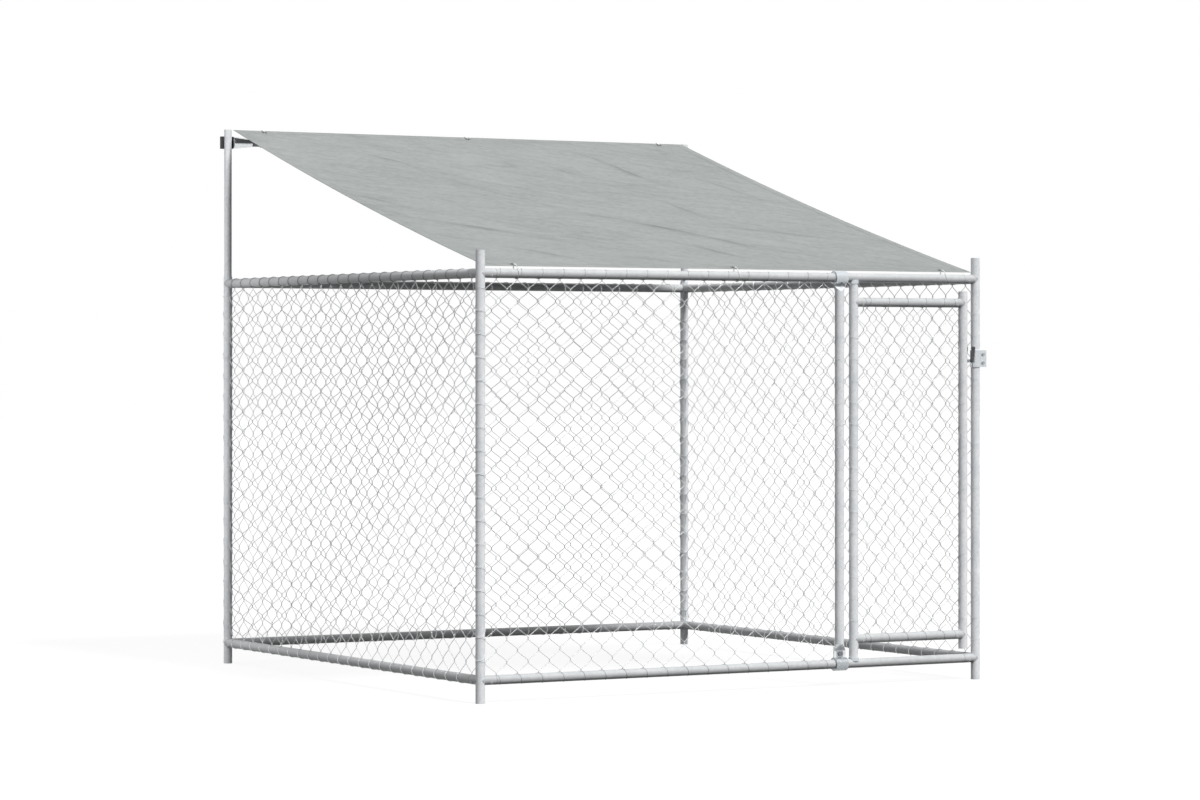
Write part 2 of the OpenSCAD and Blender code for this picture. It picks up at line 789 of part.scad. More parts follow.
module roof_sheet() {
    color(sheet_grey) difference() {
        sheet_skin();
        for (p = edge_spots) at_eyelet(p)
            cylinder(r = sleeve_r + eyelet_gap, h = 40 * sheet_t, center = true);
    }
}

module eyelets() {
    face = sheet_t / 2 + eyelet_gap;
    rim = face + eyelet_t;
    color(dark_zinc) for (p = edge_spots) at_eyelet(p) rotate_extrude() polygon([
        [eyelet_bore / 2, -rim], [eyelet_flange / 2, -rim], [eyelet_flange / 2, -face], [sleeve_r, -face],
        [sleeve_r, face], [eyelet_flange / 2, face], [eyelet_flange / 2, rim], [eyelet_bore / 2, rim]
    ]);
}

// Angle of the outer normal of the straight run from one circle, as [x, y, radius], to the next
function run_angle(a, b) = let (d = b - a) atan2(d.y, d.x) - acos((a.z - b.z) / norm([d.x, d.y]));
function turn_to(a, b) = (b - a) - 360 * floor((b - a) / 360);

// A band pulled tight round circles, as points with the angle of their outer normal
function band_path(circles) = let (
        n = len(circles),
        runs = [for (k = [0 : n - 1]) run_angle(circles[k], circles[(k + 1) % n])]
    ) [for (k = [0 : n - 1]) let (
            c = circles[k],
            first = runs[(k + n - 1) % n],
            turn = turn_to(first, runs[k]),
            steps = max(2, ceil(turn / tie_step))
        ) for (i = [0 : steps]) let (a = first + turn * i / steps)
            [c.x + c.z * cos(a), c.y + c.z * sin(a), a]];

// A closed loop of cord along a path in the YZ plane
module cord_loop(path) {
    m = len(path);
    points = [for (p = path, k = [0 : tie_sides - 1]) let (w = 360 * k / tie_sides, out = cord_r * cos(w))
        [cord_r * sin(w), p.x + out * cos(p.z), p.y + out * sin(p.z)]];
    faces = [for (i = [0 : m - 1], k = [0 : tie_sides - 1]) let (
            a = i * tie_sides + k,
            b = i * tie_sides + (k + 1) % tie_sides,
            c = (i + 1) % m * tie_sides + (k + 1) % tie_sides,
            d = (i + 1) % m * tie_sides + k
        ) each [[a, b, c], [a, c, d]]];
    polyhedron(points, faces);
}

// Each tie lies on the sheet from its eyelet to the edge, goes over the edge and round the rail
// or the roof bar, and comes up through the eyelet again.
module edge_ties() {
    color(cord_grey) for (p = edge_spots) {
        at_rear = p.y > 0;
        inward = at_rear ? -1 : 1;
        held_y = -inward * y_post;
        held_z = at_rear ? bar_z : rail_high;
        held_r = at_rear ? bar_r : tube_r;
        eyelet_y = p.y - inward * (tie_pull + tie_lift);
        edge_y = (at_rear ? sheet_y1 : sheet_y0) + inward * (tie_lift - cord_r - seat_gap);
        path = band_path([
            [0, 0, held_r + cord_r + seat_gap],
            [abs(eyelet_y - held_y), sheet_z(p.x, eyelet_y) - held_z, tie_lift],
            [abs(edge_y - held_y), sheet_z(p.x, edge_y) - held_z, tie_lift]
        ]);
        translate([p.x, held_y, held_z]) mirror([0, at_rear ? 1 : 0, 0]) cord_loop(path);
    }
}

front_post(-1);  // front_left_post
front_post(1);  // front_right_post
rear_post(1);  // rear_right_post
rear_post(-1);  // rear_left_post
mast(-1);  // left_mast
mast(1);  // right_mast
corner_sockets(0);  // front_left_sockets
corner_sockets(1);  // front_right_sockets
corner_sockets(2);  // rear_right_sockets
corner_sockets(3);  // rear_left_sockets
rail(0, rail_low);  // front_bottom_rail
rail(1, rail_low);  // right_bottom_rail
rail(2, rail_low);  // rear_bottom_rail
rail(3, rail_low);  // left_bottom_rail
rail(0, rail_high);  // front_top_rail
rail(1, rail_high);  // right_top_rail
rail(2, rail_high);  // rear_top_rail
rail(3, rail_high);  // left_top_rail
rail_screws();
mast_screws();
front_net();
side_net(1);  // right_net
side_net(2);  // rear_net
side_net(3);  // left_net
door_post();
door_post_bottom_clamp();
door_post_top_clamp();
clamp_bolts();
clamp_nuts();
bottom_hinge_pin();
top_hinge_pin();
door_hinge_stile();
door_latch_stile();
door_sockets();
door_rail(door_low);  // door_bottom_rail
door_rail(door_high);  // door_top_rail
door_screws();
door_net();
latch_band();
latch_bolts();
latch_nuts();
latch_arms();
latch_pivot();
roof_bar();
roof_bar_saddles();
roof_bar_cups();
saddle_bolts();
roof_sheet();
eyelets();
edge_ties();
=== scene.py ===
# %% [markdown]
# # Outdoor dog kennel run
# The real object is a square cage of galvanised tube, filled with chain-link wire, with a narrow
# door in its front and a grey sheet stretched over it as a roof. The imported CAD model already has
# every tube, clamp and bolt in its right place. This script keeps those, gives them finishes, and
# makes the pieces that a plain solid can't show: woven wire, wound binding, cloth and cord.

# %% Load the frame
import math

import bmesh
import bpy
import numpy as np
from mathutils import Matrix, Vector, noise


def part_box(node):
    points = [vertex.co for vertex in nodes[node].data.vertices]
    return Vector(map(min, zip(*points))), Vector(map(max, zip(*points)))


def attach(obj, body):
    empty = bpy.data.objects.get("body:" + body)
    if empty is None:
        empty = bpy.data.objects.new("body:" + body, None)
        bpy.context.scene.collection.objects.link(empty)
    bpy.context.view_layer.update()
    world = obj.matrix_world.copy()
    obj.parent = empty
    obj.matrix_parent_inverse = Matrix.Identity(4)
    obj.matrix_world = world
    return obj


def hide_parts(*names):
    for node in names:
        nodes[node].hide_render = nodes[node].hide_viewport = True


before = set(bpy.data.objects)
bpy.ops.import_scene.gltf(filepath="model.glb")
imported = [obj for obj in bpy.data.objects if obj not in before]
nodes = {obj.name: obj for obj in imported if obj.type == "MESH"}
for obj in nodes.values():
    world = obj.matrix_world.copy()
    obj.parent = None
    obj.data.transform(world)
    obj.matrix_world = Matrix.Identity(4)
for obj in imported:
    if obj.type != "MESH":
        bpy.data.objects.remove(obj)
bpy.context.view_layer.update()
scene = bpy.context.scene


def put(name, data):
    """Adds an object to the scene."""
    thing = bpy.data.objects.new(name, data)
    scene.collection.objects.link(thing)
    return thing


# %% [markdown]
# ## Sizes
# The new pieces sit on tubes of the CAD model, so places and sizes are measured on its nodes. A
# node's mesh has flat facets, so a measure is rounded to a tenth of a millimetre. What no node's
# box shows is written as a number, in metres. X runs along the front to the right, Y to the back
# and Z up from the ground.

# %% Sizes from the CAD model
# Digits after the point of a length in metres
TENTH_OF_MM, MICRON = 4, 6
X, Y, Z = range(3)


def span(node, axis):
    """Where a CAD node's box starts and ends along an axis."""
    return [round(float(corner[axis]), MICRON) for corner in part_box(node)]


def middle(node, axis):
    """The middle of a CAD node's box along an axis."""
    return round(sum(span(node, axis)) / 2, TENTH_OF_MM)


def half_width(node, axis):
    """Half of a CAD node's size along an axis, which is a round tube's radius."""
    low, high = span(node, axis)
    return round((high - low) / 2, TENTH_OF_MM)


POST = middle("front_right_post", X)
TUBE_R = half_width("front_right_post", X)
RAIL_LOW = middle("front_bottom_rail", Z)
RAIL_HIGH = middle("front_top_rail", Z)
BAR_Z = middle("roof_bar", Z)
BAR_R = half_width("roof_bar", Z)
DOOR_POST_X = middle("door_post", X)
HINGE_X = middle("door_hinge_stile", X)
LATCH_X = middle("door_latch_stile", X)
DOOR_LOW = middle("door_bottom_rail", Z)
DOOR_HIGH = middle("door_top_rail", Z)
SOCKET_REACH = round(POST + span("front_left_sockets", X)[1], TENTH_OF_MM)
DOOR_SOCKET_REACH = 0.043
WIRE_R = 0.00115
CORD_R = 0.0015
print("tubes", TUBE_R, "rails at", RAIL_LOW, RAIL_HIGH, "door from", HINGE_X, "to", LATCH_X)

# %% Sides of the run
FRONT, RIGHT, REAR, LEFT = range(4)


def side_matrix(side):
    """Takes a side's own frame to the model's: X along it seen from outside, Y inwards."""
    return Matrix.Rotation(math.radians(90 * side), 4, "Z") @ Matrix.Translation((0, -POST, 0))


print("sides", [tuple(round(v, 2) for v in side_matrix(s).translation) for s in range(4)])

# %% [markdown]
# ## Camera
# The photograph was taken from far away with a long lens, level with the middle of the run, so
# uprights stay parallel. The lens is shifted instead of tilted, which is how a view camera keeps
# verticals straight.

# %% Camera
CAMERA_PLACE = (-7.1086, -12.3834, 1.1298)
CAMERA_TURN = -29.975
camera_data = bpy.data.cameras.new("photo_camera")
camera_data.sensor_width = 36.0
camera_data.sensor_fit = "HORIZONTAL"
camera_data.lens = 117.17
camera_data.shift_y = -0.03175
camera_data.clip_end = 200.0
camera = put("photo_camera", camera_data)
camera.location = CAMERA_PLACE
camera.rotation_euler = (math.radians(90), 0, math.radians(CAMERA_TURN))
scene.camera = camera
print("camera lens", camera_data.lens)

# %% [markdown]
# ## Node graphs
# Shaders and Geometry Nodes are both trees of nodes joined by links. A small class adds nodes and
# links in one call, so that a tree reads like a formula. A value that is a socket is linked, and
# any other value is written into the socket.

# %% Node graph helper
NOISE_LOW, NOISE_HIGH = 0.3, 0.7


class Graph:
    """A node tree that is filled step by step, for shaders and for geometry."""

    def __init__(self, tree):
        self.tree = tree

    def add(self, kind, plugs=None, **settings):
        """Adds a node with its settings, and fills its sockets."""
        node = self.tree.nodes.new(kind)
        for key, value in settings.items():
            setattr(node, key, value)
        for key, value in (plugs or {}).items():
            self.plug(node.inputs[key], value)
        return node

    def out(self, kind, plugs=None, **settings):
        """Adds a node and gives its first output."""
        return self.add(kind, plugs, **settings).outputs[0]

    def plug(self, socket, value):
        if isinstance(value, bpy.types.NodeSocket):
            self.tree.links.new(value, socket)
        else:
            socket.default_value = value

    def math(self, operation, *values):
        return self.out("ShaderNodeMath", dict(enumerate(values)), operation=operation)

    def plus(self, first, second):
        return self.math("ADD", first, second)

    def times(self, first, second):
        return self.math("MULTIPLY", first, second)

    def vector(self, operation, *values):
        node = self.add("ShaderNodeVectorMath", dict(enumerate(values)), operation=operation)
        return node.outputs["Value" if operation == "DOT_PRODUCT" else "Vector"]

    def scaled(self, vector, factor):
        return self.out("ShaderNodeVectorMath", {0: vector, "Scale": factor}, operation="SCALE")

    def xyz(self, **parts):
        return self.out("ShaderNodeCombineXYZ", parts)

    def parts(self, vector):
        return self.add("ShaderNodeSeparateXYZ", {0: vector}).outputs

    def remap(self, value, low, high, to_low, to_high):
        plugs = {0: value, 1: low, 2: high, 3: to_low, 4: to_high}
        return self.out("ShaderNodeMapRange", plugs)

    def noise(self, place, scale, detail, distortion=0.0):
        plugs = {"Vector": place, "Scale": scale, "Detail": detail, "Distortion": distortion}
        return self.out("ShaderNodeTexNoise", plugs)

    def spread(self, noise_value, to_low, to_high):
        """Maps the range that a noise mostly stays in."""
        return self.remap(noise_value, NOISE_LOW, NOISE_HIGH, to_low, to_high)

    def mix_colour(self, factor, first, second):
        node = self.add("ShaderNodeMix", data_type="RGBA")
        colours = [s for s in node.inputs if s.type == "RGBA"]
        self.plug(node.inputs[0], factor)
        self.plug(colours[0], first)
        self.plug(colours[1], second)
        return [s for s in node.outputs if s.type == "RGBA"][0]

    def carried(self, label, kind):
        """A value that the points of a mesh carry under a name."""
        return self.out("GeometryNodeInputNamedAttribute", {"Name": label}, data_type=kind)

    def rod(self, line, radius, sides, caps, **more):
        """A round rod along a line, with its ends closed or open."""
        ring = self.out("GeometryNodeCurvePrimitiveCircle", {"Resolution": sides, "Radius": radius})
        plugs = {"Curve": line, "Profile Curve": ring, "Fill Caps": caps, **more}
        return self.out("GeometryNodeCurveToMesh", plugs)


def new_group(name, kind, inputs, outputs):
    """A node group with named sockets, given as name, type and first value."""
    tree = bpy.data.node_groups.new(name, kind)
    for label, value_type, value in inputs:
        socket_type = "NodeSocket" + value_type
        socket = tree.interface.new_socket(label, in_out="INPUT", socket_type=socket_type)
        if value is not None:
            socket.default_value = value
    for label, value_type in outputs:
        tree.interface.new_socket(label, in_out="OUTPUT", socket_type="NodeSocket" + value_type)
    graph = Graph(tree)
    start = graph.add("NodeGroupInput")
    end = graph.add("NodeGroupOutput")
    return graph, start.outputs, end.inputs


# %% [markdown]
# ## Zinc
# Zinc is on nearly every piece, so its crystal pattern is one node group that each metal places
# with its own values. Cells from a Voronoi texture are the crystals and a soft noise is the
# cloudy tone between them. The group gives a colour, a roughness and a height, and the shader
# itself stays in the material.

# %% Zinc crystals
CRYSTAL_TONE = 0.45
CRYSTAL_HEIGHT = 0.5
GRAINS_PER_METRE = 700.0
zinc, given, gives = new_group(
    "zinc_crystals",
    "ShaderNodeTree",
    [
        ("Dark", "Color", (0.4, 0.4, 0.4, 1)),
        ("Light", "Color", (0.6, 0.6, 0.6, 1)),
        ("Crystals per metre", "Float", 110.0),
        ("Clouds per metre", "Float", 9.0),
        ("Smoothest", "Float", 0.4),
        ("Roughest", "Float", 0.55),
    ],
    [("Color", "Color"), ("Roughness", "Float"), ("Height", "Float")],
)
place = zinc.add("ShaderNodeTexCoord").outputs["Object"]
cells = zinc.add("ShaderNodeTexVoronoi", {"Vector": place, "Scale": given["Crystals per metre"]})
crystal = zinc.out("ShaderNodeSeparateColor", {0: cells.outputs["Color"]})
clouds = zinc.spread(zinc.noise(place, given["Clouds per metre"], detail=4.0), 0.0, 1 - CRYSTAL_TONE)
grain = zinc.noise(place, GRAINS_PER_METRE, detail=2.0)
tone = zinc.plus(zinc.times(crystal, CRYSTAL_TONE), clouds)
zinc.plug(gives["Color"], zinc.mix_colour(tone, given["Dark"], given["Light"]))
zinc.plug(gives["Roughness"], zinc.remap(tone, 0.0, 1.0, given["Smoothest"], given["Roughest"]))
zinc.plug(gives["Height"], zinc.plus(zinc.times(crystal, CRYSTAL_HEIGHT), grain))
print("shader group", zinc.tree.name, len(zinc.tree.nodes), "nodes")

# %% [markdown]
# ## Metal finishes
# Hot-dip zinc on tubes is dull: most of the light is scattered by the crystals, so Metallic is
# low and the grey is even. Wire, pressed fittings and cups mirror more, and have higher values.
# The finishes differ only in tone, crystal size and gloss, so each is one row of a table, and
# some rows are copies of one zinc with painted light or shade in their tone.


# %% Material helpers
def linear(red, green, blue):
    """A colour written as on screen, from 0 to 255, as Blender's linear values."""
    parts = []
    for value in (red, green, blue):
        share = value / 255
        low = share <= 0.04045
        parts.append(share / 12.92 if low else ((share + 0.055) / 1.055) ** 2.4)
    return (*parts, 1.0)


def empty_graph(owner):
    """The node graph of a material or a world, with nothing in it."""
    owner.use_nodes = True
    owner.node_tree.nodes.clear()
    return Graph(owner.node_tree)


def new_material(name):
    material = bpy.data.materials.new(name)
    graph = empty_graph(material)
    shader = graph.add("ShaderNodeBsdfPrincipled")
    graph.add("ShaderNodeOutputMaterial", {"Surface": shader.outputs[0]})
    return material, graph, shader.inputs


def paint(graph, shader, pattern, strength, relief):
    """Gives a shader a pattern's colour and roughness, and its height as a bump."""
    graph.plug(shader["Base Color"], pattern["Color"])
    graph.plug(shader["Roughness"], pattern["Roughness"])
    bump = {"Height": pattern["Height"], "Strength": strength, "Distance": relief}
    graph.plug(shader["Normal"], graph.out("ShaderNodeBump", bump))


def zinc_metal(name, dark, light, metallic, gloss, crystals, smoothest, roughest, relief):
    material, graph, shader = new_material(name)
    values = {
        "Dark": linear(*dark),
        "Light": linear(*light),
        "Crystals per metre": crystals,
        "Smoothest": smoothest,
        "Roughest": roughest,
    }
    group = graph.add("ShaderNodeGroup", values, node_tree=zinc.tree)
    paint(graph, shader, group.outputs, strength=0.3, relief=relief)
    shader["Metallic"].default_value = metallic
    shader["Specular IOR Level"].default_value = gloss
    return material


# %% Metals
# Dark and light tone, metallic, gloss, crystals per metre, smoothest, roughest, relief in metres
METALS = {
    # One zinc in two copies: rails painted darker, uprights lighter, for the high sun's uneven light
    "galvanised_tube": ((192, 194, 196), (208, 210, 211), 0.03, 0.1, 95.0, 0.34, 0.46, 0.0001),
    "galvanised_upright_painted_lighter": ((222, 226, 230), (249, 250, 251), 0.03, 0.1, 130.0, 0.34, 0.46, 0.0001),
    "galvanised_wire": ((216, 218, 219), (234, 235, 236), 0.3, 0.4, 260.0, 0.36, 0.48, 0.0001),
    "bright_wire": ((214, 216, 217), (234, 235, 236), 0.85, 0.5, 260.0, 0.28, 0.4, 0.0001),
    # The wire's zinc painted darker, as painted shade for the dark strokes of wound wire
    "binding_wire": ((140, 143, 145), (176, 178, 180), 0.12, 0.3, 260.0, 0.4, 0.52, 0.0001),
    "zinc_fitting": ((200, 206, 210), (219, 224, 227), 0.55, 0.5, 140.0, 0.2, 0.28, 0.00003),
    "dull_clamp": ((160, 166, 170), (196, 201, 204), 0.6, 0.5, 180.0, 0.2, 0.32, 0.00004),
    "bright_cup": ((222, 225, 227), (236, 238, 239), 0.95, 0.5, 140.0, 0.12, 0.2, 0.00002),
    "zinc_screw": ((146, 149, 152), (182, 185, 187), 0.4, 0.5, 420.0, 0.3, 0.45, 0.00005),
    "dark_bolt": ((100, 103, 106), (140, 143, 146), 0.4, 0.5, 420.0, 0.3, 0.45, 0.00005),
    # Latch arms and pivot: zinc painted dark, as painted shade over them
    "dark_arm": ((56, 58, 60), (86, 88, 90), 0.4, 0.5, 300.0, 0.25, 0.4, 0.00005),
    "eyelet_metal": ((70, 72, 73), (104, 106, 107), 0.4, 0.4, 600.0, 0.28, 0.4, 0.00003),
}
metals = {name: zinc_metal(name, *row) for name, row in METALS.items()}
print("metals", list(metals))

# %% [markdown]
# ## Sheet, thread, cord and moulded plastic
# The roof is coated cloth woven from flat plastic tapes. A checker picks, square by square,
# whether the tape along X or the one along Y lies on top, which is a plain weave. Streaks along
# the fold direction, slow patches and a finer mottle stand for the uneven coating. The cords are
# pale laid cord and the saddles are moulded with a fine grain.

# %% Cloth weave
BANDS_PER_UNIT = 20 / math.tau
weave, given, gives = new_group(
    "tape_weave",
    "ShaderNodeTree",
    [
        ("Shade", "Color", (0.4, 0.4, 0.4, 1)),
        ("Lit", "Color", (0.5, 0.5, 0.5, 1)),
        ("Crease", "Color", (0.3, 0.3, 0.3, 1)),
        ("Painted shade", "Float", 0.0),
        ("Tapes per metre", "Float", 360.0),
    ],
    [("Color", "Color"), ("Height", "Float"), ("Roughness", "Float")],
)
place = weave.add("ShaderNodeTexCoord").outputs["Object"]
wave_scale = weave.math("DIVIDE", given["Tapes per metre"], BANDS_PER_UNIT)
wave = {"Vector": place, "Scale": wave_scale}
tapes = [weave.add("ShaderNodeTexWave", wave, bands_direction=axis).outputs[1] for axis in ("X", "Y")]
over = weave.add("ShaderNodeTexChecker", {"Vector": place, "Scale": given["Tapes per metre"]}).outputs[1]
woven = weave.out("ShaderNodeMix", {0: over, 2: tapes[0], 3: tapes[1]})
print("tapes", len(tapes), "ways")

# %% Cloth tone and crumple
FOLD_TURN = -33.0
FOLD_STRETCH = (1, 0.3, 1)
STREAK_TONE, PATCH_TONE, MOTTLE_TONE = 0.35, 0.25, 0.4
ROUGHEST_CLOTH, SMOOTHEST_CLOTH = 0.62, 0.5
STREAK_HEIGHT = 12.0
RIDGE_HEIGHT = 2.5
RIDGE_HALF = 0.04
RIDGED_FROM, RIDGED_TO = 0.42, 0.62
along_folds = {"Vector": place, "Rotation": (0, 0, math.radians(FOLD_TURN)), "Scale": FOLD_STRETCH}
turned = weave.out("ShaderNodeMapping", along_folds, vector_type="TEXTURE")
streaks = weave.noise(turned, scale=7.0, detail=5.0, distortion=0.5)
patches = weave.noise(place, scale=2.3, detail=3.0)
mottle = weave.noise(place, scale=42.0, detail=3.0)
ridge_noise = weave.noise(turned, scale=4.5, detail=2.0, distortion=0.3)
from_ridge = weave.math("ABSOLUTE", weave.math("SUBTRACT", ridge_noise, 0.5))
ridged = weave.remap(patches, RIDGED_FROM, RIDGED_TO, 0.0, 1.0)
ridges = weave.times(weave.remap(from_ridge, 0.0, RIDGE_HALF, 1.0, 0.0), ridged)
tone = weave.spread(streaks, 0.0, STREAK_TONE)
tone = weave.plus(tone, weave.spread(patches, 0.0, PATCH_TONE))
tone = weave.plus(tone, weave.spread(mottle, 0.0, MOTTLE_TONE))
plain_colour = weave.mix_colour(tone, given["Shade"], given["Lit"])
# Painted shade: the tone turns to the Crease colour as far as the points carry painted shade
weave.plug(gives["Color"], weave.mix_colour(given["Painted shade"], plain_colour, given["Crease"]))
weave.plug(gives["Roughness"], weave.remap(tone, 0.0, 1.0, ROUGHEST_CLOTH, SMOOTHEST_CLOTH))
streak_height = weave.times(streaks, STREAK_HEIGHT)
crumple_height = weave.plus(streak_height, weave.times(ridges, RIDGE_HEIGHT))
weave.plug(gives["Height"], weave.plus(woven, crumple_height))
print("shader group", weave.tree.name, len(weave.tree.nodes), "nodes")


# %% Soft materials
GRAIN_ROUGHNESS = 0.12


def cloth_material(name, shade, lit, crease, tapes_per_metre, relief, gloss):
    """Woven cloth, with painted shade along the creases where its points carry it."""
    material, graph, shader = new_material(name)
    values = {
        "Shade": linear(*shade),
        "Lit": linear(*lit),
        "Crease": linear(*crease),
        "Painted shade": graph.add("ShaderNodeAttribute", attribute_name="crease_shade").outputs["Fac"],
        "Tapes per metre": tapes_per_metre,
    }
    group = graph.add("ShaderNodeGroup", values, node_tree=weave.tree)
    paint(graph, shader, group.outputs, strength=0.35, relief=relief)
    shader["Specular IOR Level"].default_value = gloss
    return material


def grained_material(name, shade, lit, grains_per_metre, roughness, relief):
    """A moulded or spun surface: one noise for its tone and its grain."""
    material, graph, shader = new_material(name)
    place = graph.add("ShaderNodeTexCoord").outputs["Object"]
    grain = graph.noise(place, grains_per_metre, detail=3.0)
    pattern = {
        "Color": graph.mix_colour(graph.spread(grain, 0.0, 1.0), linear(*shade), linear(*lit)),
        "Roughness": graph.spread(grain, roughness, roughness + GRAIN_ROUGHNESS),
        "Height": grain,
    }
    paint(graph, shader, pattern, strength=0.4, relief=relief)
    return material


# Shade and lit tone of the cloth, then the colour of the painted shade in its creases
roof_cloth = cloth_material(
    "roof_fabric", (134, 138, 137), (155, 159, 158), (102, 106, 105), 360.0, relief=0.0004, gloss=0.2
)
# Shade and lit tone, grains per metre, least roughness, relief in metres
GRAINED = {
    "seam_thread": ((140, 146, 143), (168, 174, 171), 2500.0, 0.6, 0.0001),
    "tie_cord": ((232, 235, 234), (246, 248, 247), 1800.0, 0.6, 0.0002),
    "black_plastic": ((22, 22, 23), (38, 38, 40), 900.0, 0.45, 0.0001),
}
grained = {name: grained_material(name, *row) for name, row in GRAINED.items()}
print("soft materials", roof_cloth.name, list(grained))

# %% [markdown]
# ## Growing pieces with Geometry Nodes
# Chain-link, wound wire, cord and stitches all repeat by a rule, so node trees make them. A host
# mesh goes in, the tree runs once, and the result is taken out as a plain mesh, because instances
# and live modifiers don't survive an export.


# %% Geometry trees
def new_tree(name, inputs):
    """A geometry tree with a mesh going in, named sizes, a material, and a mesh coming out."""
    sockets = [("Mesh", "Geometry", None), *inputs, ("Finish", "Material", None)]
    return new_group(name, "GeometryNodeTree", sockets, [("Mesh", "Geometry")])


def close_tree(graph, given, gives, geometry):
    """Ends a tree: real geometry, smooth shading and one material."""
    real = graph.out("GeometryNodeRealizeInstances", {"Geometry": geometry})
    smooth = graph.out("GeometryNodeSetShadeSmooth", {"Geometry": real})
    finished = {"Geometry": smooth, "Material": given["Finish"]}
    graph.plug(gives["Mesh"], graph.out("GeometryNodeSetMaterial", finished))
    print("tree", graph.tree.name, len(graph.tree.nodes), "nodes")


def plain_mesh(thing):
    """What an object's modifiers make of it, as a mesh of its own."""
    return bpy.data.meshes.new_from_object(thing.evaluated_get(bpy.context.evaluated_depsgraph_get()))


def grow(name, graph, host, values):
    """Runs a tree on a host mesh and gives its result as a plain object at the origin."""
    maker = put(name + "_host", host)
    modifier = maker.modifiers.new("grow", "NODES")
    modifier.node_group = graph.tree
    sockets = {s.name: s.identifier for s in graph.tree.interface.items_tree if s.in_out == "INPUT"}
    for label, value in values.items():
        modifier[sockets[label]] = value
    mesh = plain_mesh(maker)
    maker.modifiers.remove(modifier)
    bpy.data.objects.remove(maker)
    mesh.name = name
    print(name, sum(len(p.vertices) - 2 for p in mesh.polygons), "triangles")
    return put(name, mesh)


# %% Host meshes
def host_mesh(points, edges, attributes=()):
    """A mesh of points and edges, with vector or number attributes on the points."""
    mesh = bpy.data.meshes.new("host")
    mesh.from_pydata([tuple(p) for p in points], edges, [])
    for label, values in attributes:
        vectors = hasattr(values[0], "__len__")
        layer = mesh.attributes.new(label, "FLOAT_VECTOR" if vectors else "FLOAT", "POINT")
        flat = np.array([tuple(v) if vectors else v for v in values], np.float32).ravel()
        layer.data.foreach_set("vector" if vectors else "value", flat)
    return mesh


class Loops:
    """Collects closed loops of points as one host mesh."""

    def __init__(self):
        self.points, self.edges = [], []

    def closed(self, points):
        first = len(self.points)
        count = len(points)
        self.points.extend(points)
        self.edges.extend((first + k, first + (k + 1) % count) for k in range(count))

    def mesh(self):
        return host_mesh(self.points, self.edges)


def full_turn(count):
    """Angles at equal steps round a circle."""
    return [math.tau * k / count for k in range(count)]


def settle(piece, body, slot, *replaced):
    """Says which body a piece moves with, and the CAD nodes it stands for. The slot is not used."""
    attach(piece, body)
    if replaced:
        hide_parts(*replaced)
    return piece


# %% [markdown]
# ## Chain-link
# A chain-link net is one kind of wire many times over: an upright zigzag, a flattened coil in
# truth, that hooks into its neighbour at every bend. So the tree stands a line of straight wires
# side by side, numbers them, and bends each one by a formula. Sampling is closer at the bends,
# where the wire turns round its neighbour from front to back.

# %% Chain-link wires
SAMPLES = 12
link, given, gives = new_tree(
    "chain_link",
    [
        ("Wires", "Int", 10),
        ("Wire pitch", "Float", 0.041),
        ("Rows", "Int", 10),
        ("Row height", "Float", 0.077),
        ("Wire radius", "Float", WIRE_R),
        ("Corner", "Vector", (0, 0, 0)),
    ],
)
height = link.times(given["Rows"], given["Row height"])
straight = link.out("GeometryNodeCurvePrimitiveLine", {"End": link.xyz(Z=height)})
sample_count = link.plus(link.times(given["Rows"], SAMPLES), 1.0)
straight = link.out("GeometryNodeResampleCurve", {"Curve": straight, "Count": sample_count})
step = link.xyz(X=given["Wire pitch"])
feet = link.out("GeometryNodeMeshLine", {"Count": given["Wires"], "Offset": step})
numbered = {"Geometry": feet, "Name": "wire", "Value": link.out("GeometryNodeInputIndex")}
feet = link.out("GeometryNodeStoreNamedAttribute", numbered, data_type="FLOAT")
wires = link.out("GeometryNodeInstanceOnPoints", {"Points": feet, "Instance": straight})
wires = link.out("GeometryNodeRealizeInstances", {"Geometry": wires})
print("straight wires with", SAMPLES, "samples a row")

# %% Chain-link bends
BEND = 0.82
CROWD = 0.055
CROSSING = 5.5
NEXT_WIRE, FIRST_WIRE = 0.5, 0.25
spot = link.parts(link.out("GeometryNodeInputPosition"))
even = link.math("DIVIDE", spot["Z"], given["Row height"])
crowding = link.math("SINE", link.times(even, 2 * math.tau))
turn = link.math("SUBTRACT", even, link.times(crowding, CROWD))
shift = link.plus(link.times(link.carried("wire", "FLOAT"), NEXT_WIRE), FIRST_WIRE)
phase = link.times(link.plus(turn, shift), math.tau)
swing = link.math("ARCSINE", link.times(link.math("SINE", phase), BEND))
swing = link.math("DIVIDE", swing, math.asin(BEND))
half_pitch = link.times(given["Wire pitch"], 0.5)
reach = link.plus(half_pitch, given["Wire radius"])
weaving = link.times(link.math("COSINE", phase), CROSSING)
weaving = link.math("MAXIMUM", link.math("MINIMUM", weaving, 1.0), -1.0)
bent = link.xyz(
    X=link.plus(link.times(swing, reach), link.plus(spot["X"], half_pitch)),
    Y=link.times(weaving, given["Wire radius"]),
    Z=link.times(turn, given["Row height"]),
)
bent = link.vector("ADD", bent, given["Corner"])
wires = link.out("GeometryNodeSetPosition", {"Geometry": wires, "Position": bent})
close_tree(link, given, gives, link.rod(wires, given["Wire radius"], sides=6, caps=True))

# %% [markdown]
# Each net fills the window that its CAD node fills. The count of wires and rows is fitted, so
# that whole meshes meet the tubes, as a maker cuts the net to size.

# %% Nets
MESH_W = 0.082
MESH_H = 0.077
NET_SIDE = 0.981
FRONT_NET_END = 0.396
NET_LOW = 0.094
NET_HIGH = 1.406
NET_PAST_STILE = 0.0175
nets = {}


